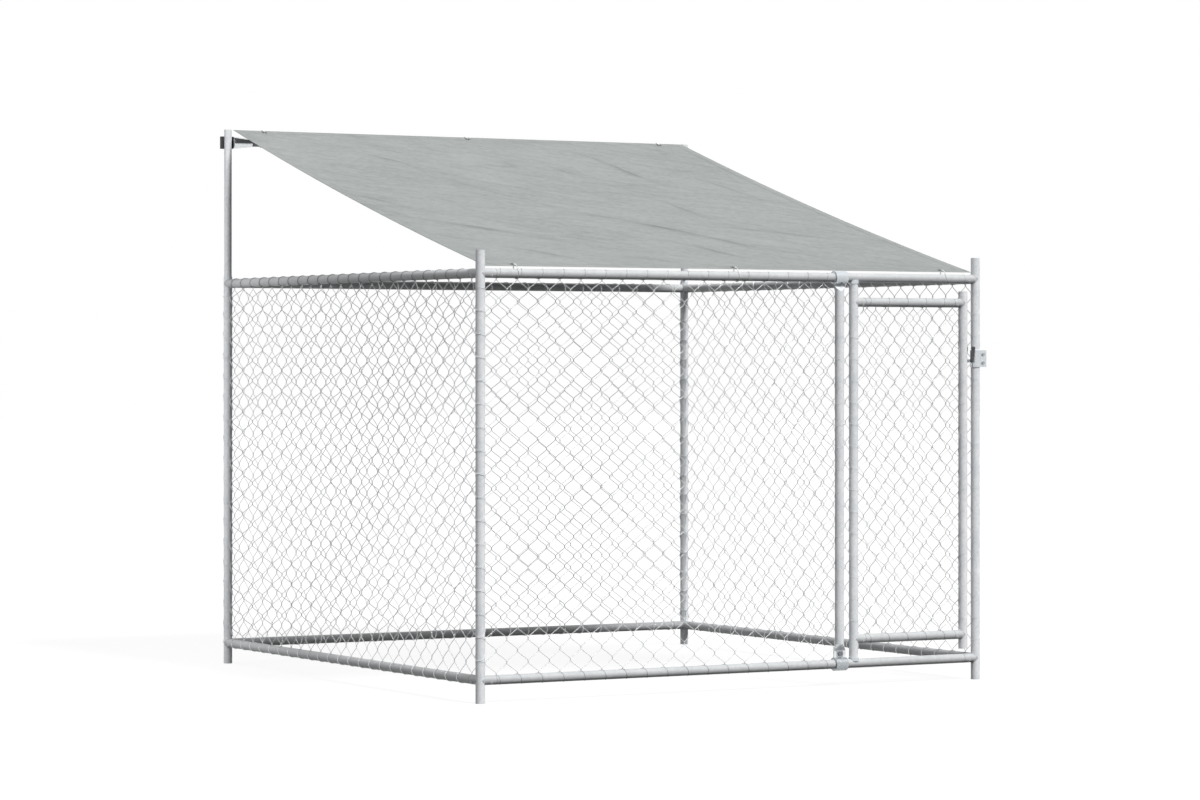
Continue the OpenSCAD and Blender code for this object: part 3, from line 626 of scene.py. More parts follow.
def chain_link(which, body, side, x0, x1, z0, z1):
    """Grows one net in a window of its side, in place of the CAD net."""
    wires_wanted = round((x1 - x0) / (MESH_W / 2))
    rows = round((z1 - z0) / MESH_H)
    values = {
        "Wires": wires_wanted,
        "Wire pitch": (x1 - x0) / wires_wanted,
        "Rows": rows,
        "Row height": (z1 - z0) / rows,
        "Wire radius": WIRE_R,
        "Corner": (x0, 0.0, z0),
        "Finish": metals["galvanised_wire"],
    }
    piece = grow(which + "_chain_link", link, host_mesh([(0, 0, 0)], []), values)
    piece.data.transform(side_matrix(side))
    settle(piece, body, "galvanised_wire", which + "_net")
    nets[which] = (values["Wire pitch"], values["Row height"], x0, z0)


chain_link("front", "frame", FRONT, -NET_SIDE, FRONT_NET_END, NET_LOW, NET_HIGH)
for which, side in (("right", RIGHT), ("rear", REAR), ("left", LEFT)):
    chain_link(which, "frame", side, -NET_SIDE, NET_SIDE, NET_LOW, NET_HIGH)
chain_link(
    "door",
    "door",
    FRONT,
    HINGE_X + NET_PAST_STILE,
    LATCH_X - NET_PAST_STILE,
    DOOR_LOW + NET_PAST_STILE,
    DOOR_HIGH - NET_PAST_STILE,
)

# %% [markdown]
# ## Binding wire
# On the real run a wire is wound round every tube and through the edge of the net, one turn for
# each mesh, and that is what holds the net. It goes steeply over one side of the tube, where it
# is pulled tight, and moves on to the next mesh along the other side. On the front and the door
# it is a thin wire, and on the other rails it is as thick as the net's own. The host mesh has one
# edge for each stretch of tube, and its points carry the tube's direction, the side that the net
# is on, the turns per metre and which way round the wire goes.

# %% Binding tree
BINDING_R = 0.0007
SEATED = 0.0001
STEP = 0.0042
TIGHT_SHARE = 0.16
wind, given, gives = new_tree(
    "binding", [("Wire radius", "Float", BINDING_R), ("Wound radius", "Float", TUBE_R + BINDING_R)]
)
line = wind.out("GeometryNodeMeshToCurve", {"Mesh": given["Mesh"]})
line = wind.out("GeometryNodeResampleCurve", {"Curve": line, "Length": STEP}, mode="LENGTH")
axis = wind.carried("axis", "FLOAT_VECTOR")
toward = wind.carried("toward", "FLOAT_VECTOR")
turns = wind.carried("turns", "FLOAT")
along = wind.vector("DOT_PRODUCT", wind.out("GeometryNodeInputPosition"), axis)
gone = wind.times(wind.math("SUBTRACT", along, wind.carried("mark", "FLOAT")), turns)
share = wind.math("FRACT", gone)
tight_part = wind.remap(share, 0.0, 0.5, 0.0, TIGHT_SHARE)
loose_part = wind.remap(share, 0.5, 1.0, 0.0, 1.0 - TIGHT_SHARE)
placed = wind.plus(tight_part, loose_part)
slide = wind.math("DIVIDE", wind.math("SUBTRACT", placed, share), turns)
angle = wind.times(share, wind.carried("hand", "FLOAT"))
angle = wind.times(angle, math.tau)
ahead = wind.scaled(toward, wind.math("COSINE", angle))
aside = wind.scaled(wind.vector("CROSS_PRODUCT", axis, toward), wind.math("SINE", angle))
outward = wind.scaled(wind.vector("ADD", ahead, aside), given["Wound radius"])
offset = wind.vector("ADD", outward, wind.scaled(axis, slide))
line = wind.out("GeometryNodeSetPosition", {"Geometry": line, "Offset": offset})
close_tree(wind, given, gives, wind.rod(line, given["Wire radius"], sides=6, caps=True))

# %% [markdown]
# A stretch starts a little past the sockets at the posts. The wire crosses the net's edge where
# two wires of the net meet, so its turns are counted from the net's own pitch.

# %% Binding stretches
UP = Vector((0, 0, 1))
RIGHTWARD = Vector((1, 0, 0))
OUTSIDE, INSIDE = 1, -1


class Stretches:
    """Collects stretches of tube that a binding wire is wound on, as one host mesh."""

    def __init__(self):
        self.points, self.edges = [], []
        self.carried = {label: [] for label in ("axis", "toward", "mark", "turns", "hand")}

    def add(self, side, start, end, toward, mark, pitch, hand):
        """A stretch in a side's own frame. Mark is where it crosses the net, along its axis."""
        place = side_matrix(side)
        start, end = Vector(start), Vector(end)
        axis = (end - start).normalized()
        crossing = start + axis * (mark - start.dot(axis))
        turned_axis = place.to_3x3() @ axis
        values = {
            "axis": turned_axis,
            "toward": place.to_3x3() @ toward,
            "mark": (place @ crossing).dot(turned_axis),
            "turns": 1 / pitch,
            "hand": hand,
        }
        self.edges.append((len(self.points), len(self.points) + 1))
        for point in (start, end):
            self.points.append(place @ point)
            for label, value in values.items():
                self.carried[label].append(value)

    def wind(self, name, body, finish, wire_r):
        host = host_mesh(self.points, self.edges, self.carried.items())
        wound_r = TUBE_R + wire_r + SEATED
        values = {"Wire radius": wire_r, "Wound radius": wound_r, "Finish": finish}
        return settle(grow(name, wind, host, values), body, "galvanised_wire")


def bind_window(kept, tight, which, side, rails, posts, rail_span, post_spans):
    """Winds wire on two rails and two uprights, pulled tight over their outside or inside.

    Kept are the collections for the low rail, the high rail, the left and the right upright.
    """
    pitch, row, x0, z0 = nets[which]
    start, end = rail_span
    for turns, z, toward, hand in zip(kept, rails, (UP, -UP), (tight, -tight)):
        turns.add(side, (start, 0, z), (end, 0, z), toward, x0 + pitch, 2 * pitch, hand)
    inwards = ((RIGHTWARD, -tight), (-RIGHTWARD, tight))
    for turns, x, (toward, hand), spans in zip(kept[2:], posts, inwards, post_spans):
        for low, high in spans:
            turns.add(side, (x, 0, low), (x, 0, high), toward, z0 + row / 2, row, hand)


# %% Binding on the frame
PAST_POST = 0.060
WOUND_POST = (0.100, 1.400)
WOUND_DOOR_POST = (0.150, 1.373)
FRONT_RAIL_END = 0.392
CLEAR_OF_BAND = 0.0065
rail_levels = (RAIL_LOW, RAIL_HIGH)
rail_run = (-POST + PAST_POST, POST - PAST_POST)
whole_post = [WOUND_POST]
band_low, band_high = span("latch_band", Z)
round_latch = [(WOUND_POST[0], band_low - CLEAR_OF_BAND), (band_high + CLEAR_OF_BAND, WOUND_POST[1])]
front_turns, bright_turns, painted_shade_turns, post_turns, rear_turns = (Stretches() for _ in range(5))
bind_window(
    (front_turns, front_turns, post_turns, post_turns),
    OUTSIDE,
    "front",
    FRONT,
    rail_levels,
    (-POST, DOOR_POST_X),
    (rail_run[0], FRONT_RAIL_END),
    (whole_post, [WOUND_DOOR_POST]),
)
for which, side, high, left, right, tight, left_spans in (
    ("right", RIGHT, bright_turns, post_turns, rear_turns, INSIDE, round_latch),
    ("rear", REAR, bright_turns, rear_turns, rear_turns, INSIDE, whole_post),
    ("left", LEFT, painted_shade_turns, rear_turns, post_turns, OUTSIDE, whole_post),
):
    kept = (bright_turns, high, left, right)
    spans = (left_spans, whole_post)
    bind_window(kept, tight, which, side, rail_levels, (-POST, POST), rail_run, spans)
# Front rails, door rails and the left top rail take the darker binding wire, painted shade
for name, turns, finish, wire_r in (
    ("front_binding_wire", front_turns, "binding_wire", BINDING_R),
    ("bright_binding_wire", bright_turns, "bright_wire", WIRE_R),
    ("dull_binding_wire", painted_shade_turns, "binding_wire", WIRE_R),
    ("post_binding_wire", post_turns, "galvanised_upright_painted_lighter", BINDING_R),
    ("rear_post_binding_wire", rear_turns, "galvanised_upright_painted_lighter", WIRE_R),
):
    turns.wind(name, "frame", metals[finish], wire_r)

# %% Binding on the door
PAST_STILE = 0.048
WOUND_STILE = (0.196, 1.304)
FORK_ROOM = (1.095, 1.171)
door_levels = (DOOR_LOW, DOOR_HIGH)
stiles = (HINGE_X, LATCH_X)
door_rail_turns = Stretches()
stile_turns = Stretches()
bind_window(
    (door_rail_turns, door_rail_turns, stile_turns, stile_turns),
    OUTSIDE,
    "door",
    FRONT,
    door_levels,
    stiles,
    (HINGE_X + PAST_STILE, LATCH_X - PAST_STILE),
    ([WOUND_STILE], [(WOUND_STILE[0], FORK_ROOM[0]), (FORK_ROOM[1], WOUND_STILE[1])]),
)
# The door rails' wire takes the darker binding zinc, painted shade
door_rail_turns.wind("door_rail_binding_wire", "door", metals["binding_wire"], BINDING_R)
stile_turns.wind("door_stile_binding_wire", "door", metals["galvanised_upright_painted_lighter"], BINDING_R)

# %% [markdown]
# ## Roof sheet
# The sheet is tied along its front and rear edges and pulled tight, so it is nearly flat, with a
# slight sag and long soft creases from being folded in its box. It is one surface over a grid:
# the sag and broad waves are those of the CAD sheet, so the eyelets fit, and the finer creases
# fade out before the hem. A cloth simulation would smooth these creases away, so a formula is
# used.

# %% Sheet stretched
SOLID_HALF = 0.0006
SHEET_HALF = half_width("roof_sheet", X)
SHEET_Y = span("roof_sheet", Y)
SHEET_Z = [z + SOLID_HALF * way for z, way in zip(span("roof_sheet", Z), (1, -1))]
SHEET_SPAN = SHEET_Y[1] - SHEET_Y[0]
SAG = 0.018
WAVE = 0.004
WAVES = 2.5
WAVE_LEAN = 0.35
SLOPE_STEP = 0.005


def taut_height(x, y):
    """The CAD sheet's height at a point of the plan, from its sag and broad waves."""
    u = (x + SHEET_HALF) / (2 * SHEET_HALF)
    v = (y - SHEET_Y[0]) / SHEET_SPAN
    wave = np.sin(math.tau * WAVES * (v + WAVE_LEAN * u)) * np.sin(math.pi * u) * np.sin(math.pi * v)
    return SHEET_Z[0] + (SHEET_Z[1] - SHEET_Z[0]) * v - SAG * 4 * v * (1 - v) + WAVE * wave


def sheet_lean(x, y):
    """The angle of the sheet's slope to the rear at a point."""
    rise = taut_height(x, y + SLOPE_STEP) - taut_height(x, y - SLOPE_STEP)
    return math.atan(float(rise / (2 * SLOPE_STEP)))


def edge_distance(x, y):
    """How far points of the plan are from the sheet's nearest edge."""
    return np.minimum.reduce([SHEET_HALF - np.abs(x), y - SHEET_Y[0], SHEET_Y[1] - y])


print("sheet height in the middle", round(float(taut_height(0.0, 0.0)), 3))

# %% [markdown]
# A crease is a ridge with a shallower dip beside it, along a line that bows and wobbles and runs
# out past its ends. Shade is painted darker along the ridge, in a broken line. Between these
# folds a noise, drawn out along the fold direction, gives a light crumple, with painted shade on
# its sharpest ridges.

# %% Creases
# Start and end in shares of the width and the length, height and half width in metres
CREASES = [
    ((0.01, 0.38), (0.31, 0.18), 0.0063, 0.012),
    ((0.36, 0.48), (0.76, 0.09), 0.0069, 0.013),
    ((0.70, 0.92), (0.76, 0.64), 0.0063, 0.013),
    ((0.66, 0.58), (0.71, 0.40), 0.0044, 0.012),
    ((0.64, 0.35), (0.92, 0.24), 0.0050, 0.012),
    ((0.48, 0.24), (0.60, 0.07), 0.0050, 0.012),
    ((0.00, 0.55), (0.12, 0.40), 0.0050, 0.012),
    ((0.00, 0.25), (0.11, 0.19), 0.0044, 0.011),
    ((0.11, 0.16), (0.24, 0.04), 0.0044, 0.011),
    ((0.33, 0.09), (0.42, 0.04), 0.0037, 0.011),
    ((0.10, 0.95), (0.40, 0.62), 0.0031, 0.014),
    ((0.22, 0.72), (0.40, 0.52), 0.0031, 0.012),
    ((0.55, 0.82), (0.62, 0.66), 0.0031, 0.012),
    ((0.84, 0.80), (0.95, 0.50), 0.0031, 0.012),
]
RUN_OUT = 0.1
BOW = 0.018
BOW_HALF_TURNS = 2.2
# Size, pace in radians a metre, and shift from crease to crease
WOBBLES = ((0.004, 19, 2), (0.0025, 47, 5))
BREAKS = (0.3, 23, 3)
DIP_DEPTH = 0.55
DIP_PLACE = 1.9
DIP_WIDTH = 1.3
# Painted shade along a crease: its darkest share at a given height, and its half width
CREASE_SHADE_MOST = 0.7
CREASE_SHADE_RISE = 0.005
CREASE_SHADE_HALF = 0.009


def single_folds(x, y):
    """The listed creases: their height, and the painted shade along them."""
    corner = np.array([-SHEET_HALF, SHEET_Y[0]])
    scale = np.array([2 * SHEET_HALF, SHEET_SPAN])
    height = np.zeros_like(x)
    crease_shade = np.zeros_like(x)
    for k, (start, end, rise, half) in enumerate(CREASES):
        a = corner + scale * start
        way = corner + scale * end - a
        size = np.hypot(*way)
        way = way / size
        s = ((x - a[0]) * way[0] + (y - a[1]) * way[1]) / size
        bow = BOW * size * np.sin(BOW_HALF_TURNS * math.pi * s)
        for far, pace, shift in WOBBLES:
            bow += far * np.sin(pace * s * size + shift * k)
        d = (x - a[0]) * -way[1] + (y - a[1]) * way[0] - bow
        lasting = np.cos(math.pi * (s - 0.5) / (1 + 2 * RUN_OUT)) ** 2
        fade = np.where((s > -RUN_OUT) & (s < 1 + RUN_OUT), lasting, 0.0)
        dip = np.exp(-(((d - DIP_PLACE * half) / (DIP_WIDTH * half)) ** 2))
        height += rise * fade * (np.exp(-((d / half) ** 2)) - DIP_DEPTH * dip)
        depth, pace, shift = BREAKS
        broken = 1 - depth + depth * np.sin(pace * s * size + shift * k)
        shade_here = np.exp(-((d / CREASE_SHADE_HALF) ** 2))
        crease_shade = np.maximum(crease_shade, CREASE_SHADE_MOST * rise / CREASE_SHADE_RISE * fade * broken * shade_here)
    return height, crease_shade


print("creases", len(CREASES))

# %% Crumple
HEM = 0.040
EASE_IN = 0.06
SWELL = 0.0020
RIDGE = 0.0035
RIDGE_SHARPNESS = 7
# Painted shade on the sharpest ridges of the crumple
RIDGE_SHADE = 0.45
PATCH_OFFSET = 0.2
# Paces along and across the folds, and a layer of the noise
RIDGE_NOISE = (3.0, 9.0, 1.9)
PATCH_NOISE = (2.1, 2.7, 5.3)
SWELL_NOISE = (2.4, 6.5, 3.7)


def drawn_noise(p, q, settings):
    along, across, layer = settings
    return noise.noise((p * along, q * across, layer))


def crumple(x, y):
    """The drawn-out crumple at one point: its height, and painted shade on its sharpest ridge."""
    lean = math.radians(FOLD_TURN)
    p = x * math.cos(lean) + y * math.sin(lean)
    q = -x * math.sin(lean) + y * math.cos(lean)
    ridge = (1 - abs(drawn_noise(p, q, RIDGE_NOISE))) ** RIDGE_SHARPNESS
    patch = max(0.0, PATCH_OFFSET + drawn_noise(p, q, PATCH_NOISE))
    height = SWELL * drawn_noise(p, q, SWELL_NOISE) + RIDGE * ridge * patch
    return height, RIDGE_SHADE * patch * ridge * ridge


def creased(x, y):
    """All finer creases, faded out before the hem: their height, and their painted shade."""
    height, crease_shade = single_folds(x, y)
    for i in np.ndindex(x.shape):
        more, shade_here = crumple(x[i], y[i])
        height[i] += more
        crease_shade[i] = max(crease_shade[i], shade_here)
    ease = np.clip((edge_distance(x, y) - HEM) / EASE_IN, 0.0, 1.0)
    return height * ease * ease * (3 - 2 * ease), np.clip(crease_shade, 0.0, 1.0)


# %% [markdown]
# The cloth is doubled in the hem, so the sheet is thicker there. Extra grid lines mark the step
# and round the edge. Holes for the eyelets are cut last.

# %% Sheet grid
CLOTH_HALF = 0.0003
HEM_HALF = 0.0006
EDGE_HALF = 0.4 * HEM_HALF
HEM_STEP = 0.0006
RIM_LINES = (0.0, 0.0003, 0.012, 0.026, HEM)
SHEET_CELLS = 205
TINY = 1e-5


def grid_lines(low, high):
    """Grid lines from edge to edge: a few in each hem and even ones between."""
    inner = np.linspace(low + HEM + HEM_STEP, high - HEM - HEM_STEP, SHEET_CELLS + 1)
    first = [low + r for r in RIM_LINES]
    last = [high - r for r in reversed(RIM_LINES)]
    return np.concatenate([first, inner, last])


lines_x = grid_lines(-SHEET_HALF, SHEET_HALF)
lines_y = grid_lines(*SHEET_Y)
grid_x, grid_y = np.meshgrid(lines_x, lines_y)
crease_height, crease_shade = creased(grid_x, grid_y)
cloth_z = taut_height(grid_x, grid_y) + crease_height
edge = edge_distance(grid_x, grid_y)
half = np.where(edge > HEM + TINY, CLOTH_HALF, HEM_HALF)
half = np.where(edge < TINY, EDGE_HALF, half)
columns, rows = len(lines_x), len(lines_y)
top = np.stack([grid_x, grid_y, cloth_z + half], -1).reshape(-1, 3)
under = np.stack([grid_x, grid_y, cloth_z - half], -1).reshape(-1, 3)
print("sheet", columns, "by", rows, "points")

# %% Sheet mesh
low = len(top)
faces = []
for j in range(rows - 1):
    for i in range(columns - 1):
        a = j * columns + i
        face = (a, a + 1, a + columns + 1, a + columns)
        faces.append(face)
        faces.append(tuple(low + k for k in reversed(face)))
rim = [
    *range(columns - 1),
    *(j * columns + columns - 1 for j in range(rows - 1)),
    *((rows - 1) * columns + i for i in range(columns - 1, 0, -1)),
    *(j * columns for j in range(rows - 1, 0, -1)),
]
for a, b in zip(rim, rim[1:] + rim[:1]):
    faces.append((a, a + low, b + low, b))
sheet_mesh = bpy.data.meshes.new("roof_tarp")
sheet_mesh.from_pydata(np.concatenate([top, under]).tolist(), [], faces)
# Painted shade of the creases, carried by the points for the cloth shader
crease_shade_layer = sheet_mesh.attributes.new("crease_shade", "FLOAT", "POINT")
crease_shade_layer.data.foreach_set("value", np.tile(crease_shade.ravel(), 2).astype(np.float32))
roof_tarp = put("roof_tarp", sheet_mesh)
print("sheet faces", len(faces))

# %% Eyelet holes
TIE_X = (-0.864, 0.0, 0.864)
EYELET_IN = 0.025
HOLE_R = 0.0072
PUNCH_DEPTH = 0.02
edge_spots = [(x, y) for x in TIE_X for y in (SHEET_Y[0] + EYELET_IN, SHEET_Y[1] - EYELET_IN)]
punch = bmesh.new()
round_punch = {"segments": 24, "radius1": HOLE_R, "radius2": HOLE_R, "depth": PUNCH_DEPTH}
for x, y in edge_spots:
    spot = Matrix.Translation((x, y, float(taut_height(x, y))))
    stand = spot @ Matrix.Rotation(sheet_lean(x, y), 4, "X")
    bmesh.ops.create_cone(punch, cap_ends=True, matrix=stand, **round_punch)
punch_mesh = bpy.data.meshes.new("punch")
punch.to_mesh(punch_mesh)
punch.free()
punch_object = put("punch", punch_mesh)
cut = roof_tarp.modifiers.new("holes", "BOOLEAN")
cut.object = punch_object
cut.operation = "DIFFERENCE"
cut.solver = "EXACT"
pierced = plain_mesh(roof_tarp)
roof_tarp.modifiers.remove(cut)
roof_tarp.data = pierced
pierced.name = "roof_tarp_cloth"
bpy.data.objects.remove(punch_object)
pierced.materials.clear()
pierced.materials.append(roof_cloth)
pierced.shade_smooth()
settle(roof_tarp, "frame", "roof_fabric", "roof_sheet")
print("pierced sheet faces", len(pierced.polygons))

# %% [markdown]
# ## Hem stitches
# The hem is sewn down by one row of stitches all round. They are small and there are many, so the
# tree puts one short thread, bowed up in its middle, at equal steps along a line on the sheet.

# %% Stitch tree
STITCH = 0.0042
STITCH_GAP = 0.0010
THREAD_R = 0.00035
stitch_sizes = {"Step": STITCH + STITCH_GAP, "Length": STITCH}
sew, given, gives = new_tree("stitches", [(label, "Float", size) for label, size in stitch_sizes.items()])
line = sew.out("GeometryNodeMeshToCurve", {"Mesh": given["Mesh"]})
spaced = {"Curve": line, "Length": given["Step"]}
spots = sew.add("GeometryNodeCurveToPoints", spaced, mode="LENGTH").outputs
half_length = sew.times(given["Length"], 0.5)
bow_points = {
    "Start": sew.xyz(Z=sew.times(half_length, -1.0)),
    "Middle": (0, -2 * THREAD_R, 0),
    "End": sew.xyz(Z=half_length),
}
bow = sew.out("GeometryNodeCurveQuadraticBezier", {"Resolution": 4, **bow_points})
one_stitch = sew.rod(bow, THREAD_R, sides=5, caps=True)
row = {"Points": spots["Points"], "Instance": one_stitch, "Rotation": spots["Rotation"]}
close_tree(sew, given, gives, sew.out("GeometryNodeInstanceOnPoints", row))

# %% Stitches on the sheet
SEAM_IN = 0.035
SEAM_POINTS = 80
seam_x = np.linspace(-SHEET_HALF + SEAM_IN, SHEET_HALF - SEAM_IN, SEAM_POINTS)
seam_y = np.linspace(SHEET_Y[0] + SEAM_IN, SHEET_Y[1] - SEAM_IN, SEAM_POINTS)
plan = [
    *((x, seam_y[0]) for x in seam_x[:-1]),
    *((seam_x[-1], y) for y in seam_y[:-1]),
    *((x, seam_y[-1]) for x in seam_x[:0:-1]),
    *((seam_x[0], y) for y in seam_y[:0:-1]),
]
seams = Loops()
for face_side in (1, -1):
    seams.closed([(x, y, float(taut_height(x, y)) + face_side * HEM_HALF) for x, y in plan])
stitches = grow("hem_stitches", sew, seams.mesh(), {**stitch_sizes, "Finish": grained["seam_thread"]})
settle(stitches, "frame", "roof_fabric")

# %% [markdown]
# ## Ties
# Pale cord loops hold the sheet to the front rail and the roof bar. Each lies on the sheet from
# its eyelet to the edge, goes over the edge, round the tube and up through the eyelet again, like
# a band pulled tight round three circles. A cord is laid from three strands, so its section is a
# three-lobed shape that turns along its length, and the tree sweeps that section along each loop.
# A small knot sits beside the eyelet.

# %% Cord tree
LAY = 0.009
STRANDS = 3
GROOVE = 0.74
cord_sizes = {"Cord radius": CORD_R, "Lay": LAY}
lay, given, gives = new_tree("laid_cord", [(label, "Float", size) for label, size in cord_sizes.items()])
line = lay.out("GeometryNodeMeshToCurve", {"Mesh": given["Mesh"]})
turns = lay.math("ROUND", lay.math("DIVIDE", lay.out("GeometryNodeSplineLength"), given["Lay"]))
tilt = lay.times(lay.add("GeometryNodeSplineParameter").outputs["Factor"], turns)
tilt = lay.times(tilt, math.tau)
line = lay.out("GeometryNodeSetCurveTilt", {"Curve": line, "Tilt": tilt})
circle = {"Resolution": 12, "Radius": given["Cord radius"]}
ring = lay.out("GeometryNodeCurvePrimitiveCircle", circle)
spot = lay.out("GeometryNodeInputPosition")
spot_parts = lay.parts(spot)
angle = lay.times(lay.math("ARCTAN2", spot_parts["Y"], spot_parts["X"]), STRANDS / 2)
lobes = lay.remap(lay.math("ABSOLUTE", lay.math("COSINE", angle)), 0.0, 1.0, GROOVE, 1.0)
ring = lay.out("GeometryNodeSetPosition", {"Geometry": ring, "Position": lay.scaled(spot, lobes)})
cord = lay.out("GeometryNodeCurveToMesh", {"Curve": line, "Profile Curve": ring})
close_tree(lay, given, gives, cord)

# %% Tie shapes
ARC_STEP = math.radians(5)
RUN_STEP = 0.0015
KNOT_POINTS = 60
KNOT_SIZE = 0.0012
KNOT_RISE = 0.8


def band_path(circles):
    """A band pulled tight round circles, given as x, y and radius, as points of the plane."""
    count = len(circles)
    normals = []
    for k in range(count):
        (x0, y0, r0), (x1, y1, r1) = circles[k], circles[(k + 1) % count]
        way = math.atan2(y1 - y0, x1 - x0)
        normals.append(way - math.acos((r0 - r1) / math.hypot(x1 - x0, y1 - y0)))
    path = []
    for k, (x, y, r) in enumerate(circles):
        first = normals[k - 1]
        turn = (normals[k] - first) % math.tau
        steps = max(2, math.ceil(turn / ARC_STEP))
        arc = [first + turn * i / steps for i in range(steps + 1)]
        path.extend((x + r * math.cos(a), y + r * math.sin(a)) for a in arc)
    return path


def evened(path):
    """The same closed path with points at equal steps, so that the strands turn evenly."""
    ring = np.array(path + path[:1])
    steps = np.hypot(*np.diff(ring, axis=0).T)
    gone = np.concatenate([[0.0], np.cumsum(steps)])
    count = round(gone[-1] / RUN_STEP)
    wanted = np.linspace(0.0, gone[-1], count, endpoint=False)
    return np.stack([np.interp(wanted, gone, ring[:, k]) for k in (0, 1)], -1)


def knot_points(place):
    """A trefoil, the shape that a cord takes in a plain knot."""
    points = []
    for t in full_turn(KNOT_POINTS):
        wide = math.sin(t) + 2 * math.sin(2 * t)
        long = math.cos(t) - 2 * math.cos(2 * t)
        points.append(place @ (Vector((wide, long, -KNOT_RISE * math.sin(3 * t))) * KNOT_SIZE))
    return points


# %% Tie loops
SEAT_GAP = 0.0003
TIE_LIFT = 0.0032
TIE_PULL = 0.0038
tie_loops = Loops()
for x, y in edge_spots:
    inward = -1 if y > 0 else 1
    held_y = -inward * POST
    held_z, held_r, edge_y = (BAR_Z, BAR_R, SHEET_Y[1]) if y > 0 else (RAIL_HIGH, TUBE_R, SHEET_Y[0])
    near_y = y - inward * (TIE_PULL + TIE_LIFT)
    over_y = edge_y + inward * (TIE_LIFT - CORD_R - SEAT_GAP)
    circles = [(0.0, 0.0, held_r + CORD_R + SEAT_GAP)]
    for sheet_y in (near_y, over_y):
        circles.append((abs(sheet_y - held_y), float(taut_height(x, sheet_y)) - held_z, TIE_LIFT))
    path = evened(band_path(circles))
    tie_loops.closed([(x, held_y + inward * a, held_z + b) for a, b in path])
    knot_y = (near_y + over_y) / 2
    knot_spot = Matrix.Translation((x, knot_y, float(taut_height(x, knot_y)) + TIE_LIFT))
    tie_loops.closed(knot_points(knot_spot @ Matrix.Rotation(sheet_lean(x, knot_y), 4, "X")))
tie_piece = grow("tie_cord_loops", lay, tie_loops.mesh(), {**cord_sizes, "Finish": grained["tie_cord"]})
settle(tie_piece, "frame", "tie_cord", "edge_ties")

# %% [markdown]
# ## Welds and socket mouths
# Each socket is a short tube, cut to the post's curve and welded to it before the zinc bath. Two
# tubes of one size meet in a curve that the circle's own sine gives, and at a corner the two
# sockets also meet each other at 45 degrees. A small bead follows that curve. At the socket's
# other end a fine ring marks the mouth that the rail slides into, painted dark as the shadow in
# the gap there.

# %% Bead tree
BEAD_R = 0.0014
RIPPLES = 2600.0
THINNEST, THICKEST = 0.85, 1.1
bead, given, gives = new_tree("weld_bead", [("Bead radius", "Float", BEAD_R)])
line = bead.out("GeometryNodeMeshToCurve", {"Mesh": given["Mesh"]})
along = bead.add("GeometryNodeSplineParameter").outputs["Length"]
ripple = bead.math("SINE", bead.times(along, RIPPLES))
swell = bead.remap(ripple, -1.0, 1.0, THINNEST, THICKEST)
line = bead.out("GeometryNodeSetCurveRadius", {"Curve": line, "Radius": swell})
rounded = bead.rod(line, given["Bead radius"], sides=7, caps=False, Scale=swell)
close_tree(bead, given, gives, rounded)

# %% Beads on the sockets
WELD_POINTS = 96
MOUTH_POINTS = 64
MOUTH_SUNK = 0.0006
MOUTH_R = TUBE_R - MOUTH_SUNK
MOUTH_BEAD = 0.0010


def socket_weld(place, way, inward):
    """The seam of a socket that leaves an upright at the given place, along X, to the side way."""
    points = []
    for a in full_turn(WELD_POINTS):
        y, z = TUBE_R * math.cos(a), TUBE_R * math.sin(a)
        x = TUBE_R * abs(math.sin(a))
        if inward:
            x = max(x, y)
        points.append(place @ Vector((way * x, y, z)))
    return points


def socket_mouth(place, way, reach):
    """The round edge of a socket's mouth, where the rail's narrow end slides in."""
    angles = full_turn(MOUTH_POINTS)
    return [place @ Vector((way * reach, MOUTH_R * math.cos(a), MOUTH_R * math.sin(a))) for a in angles]


def bead_sockets(body, sides, uprights, levels, reach, at_corner):
    """Welds and mouths of all sockets between two uprights of each side, as two pieces."""
    welds = Loops()
    mouths = Loops()
    for side in sides:
        for z in levels:
            for way, x in zip((1, -1), uprights):
                place = side_matrix(side) @ Matrix.Translation((x, 0, z))
                welds.closed(socket_weld(place, way, at_corner))
                mouths.closed(socket_mouth(place, way, reach))
    for name, loops, radius, finish in (
        ("weld_beads", welds, BEAD_R, "galvanised_tube"),
        # A zinc ring at each mouth, painted dark as the shadow in the gap there
        ("socket_mouth_shadows", mouths, MOUTH_BEAD, "dark_bolt"),
    ):
        values = {"Bead radius": radius, "Finish": metals[finish]}
        settle(grow(f"{body}_{name}", bead, loops.mesh(), values), body, "galvanised_tube")


bead_sockets("frame", range(4), (-POST, POST), rail_levels, SOCKET_REACH, True)
bead_sockets("door", [FRONT], stiles, door_levels, DOOR_SOCKET_REACH, False)

# %% [markdown]
# ## Finishes on the CAD nodes
# The tubes, clamps, bolts and fittings keep their CAD shape. Each only takes the finish of its
# kind.

# %% Finishes on the CAD nodes
UPRIGHTS = ("post", "posts", "mast", "masts", "stile")
finish_of = {
    "door_post_bottom_clamp": "dull_clamp",
    "door_post_top_clamp": "zinc_fitting",
    "bottom_hinge_pin": "zinc_fitting",
    "top_hinge_pin": "zinc_fitting",
    "latch_band": "zinc_fitting",
    "roof_bar_cups": "bright_cup",
    # The latch arms and pivot take zinc painted dark as shade
    "latch_arms": "dark_arm",
    "latch_pivot": "dark_arm",
    "roof_bar_saddles": "black_plastic",
    "eyelets": "eyelet_metal",
}
finishes = {**metals, **grained}
for name, node in nodes.items():
    finish = finish_of.get(name, "galvanised_tube")
    # Uprights take the copy of the zinc painted lighter, for the light their faces miss
    if name.endswith(UPRIGHTS):
        finish = "galvanised_upright_painted_lighter"
    if name.endswith("screws"):
        finish = "zinc_screw"
    if name.endswith(("bolts", "nuts")):
        finish = "zinc_screw" if name.startswith("latch") else "dark_bolt"
    node.data.materials.clear()
    node.data.materials.append(finishes[finish])
print("finishes", {name: material.users for name, material in finishes.items()})

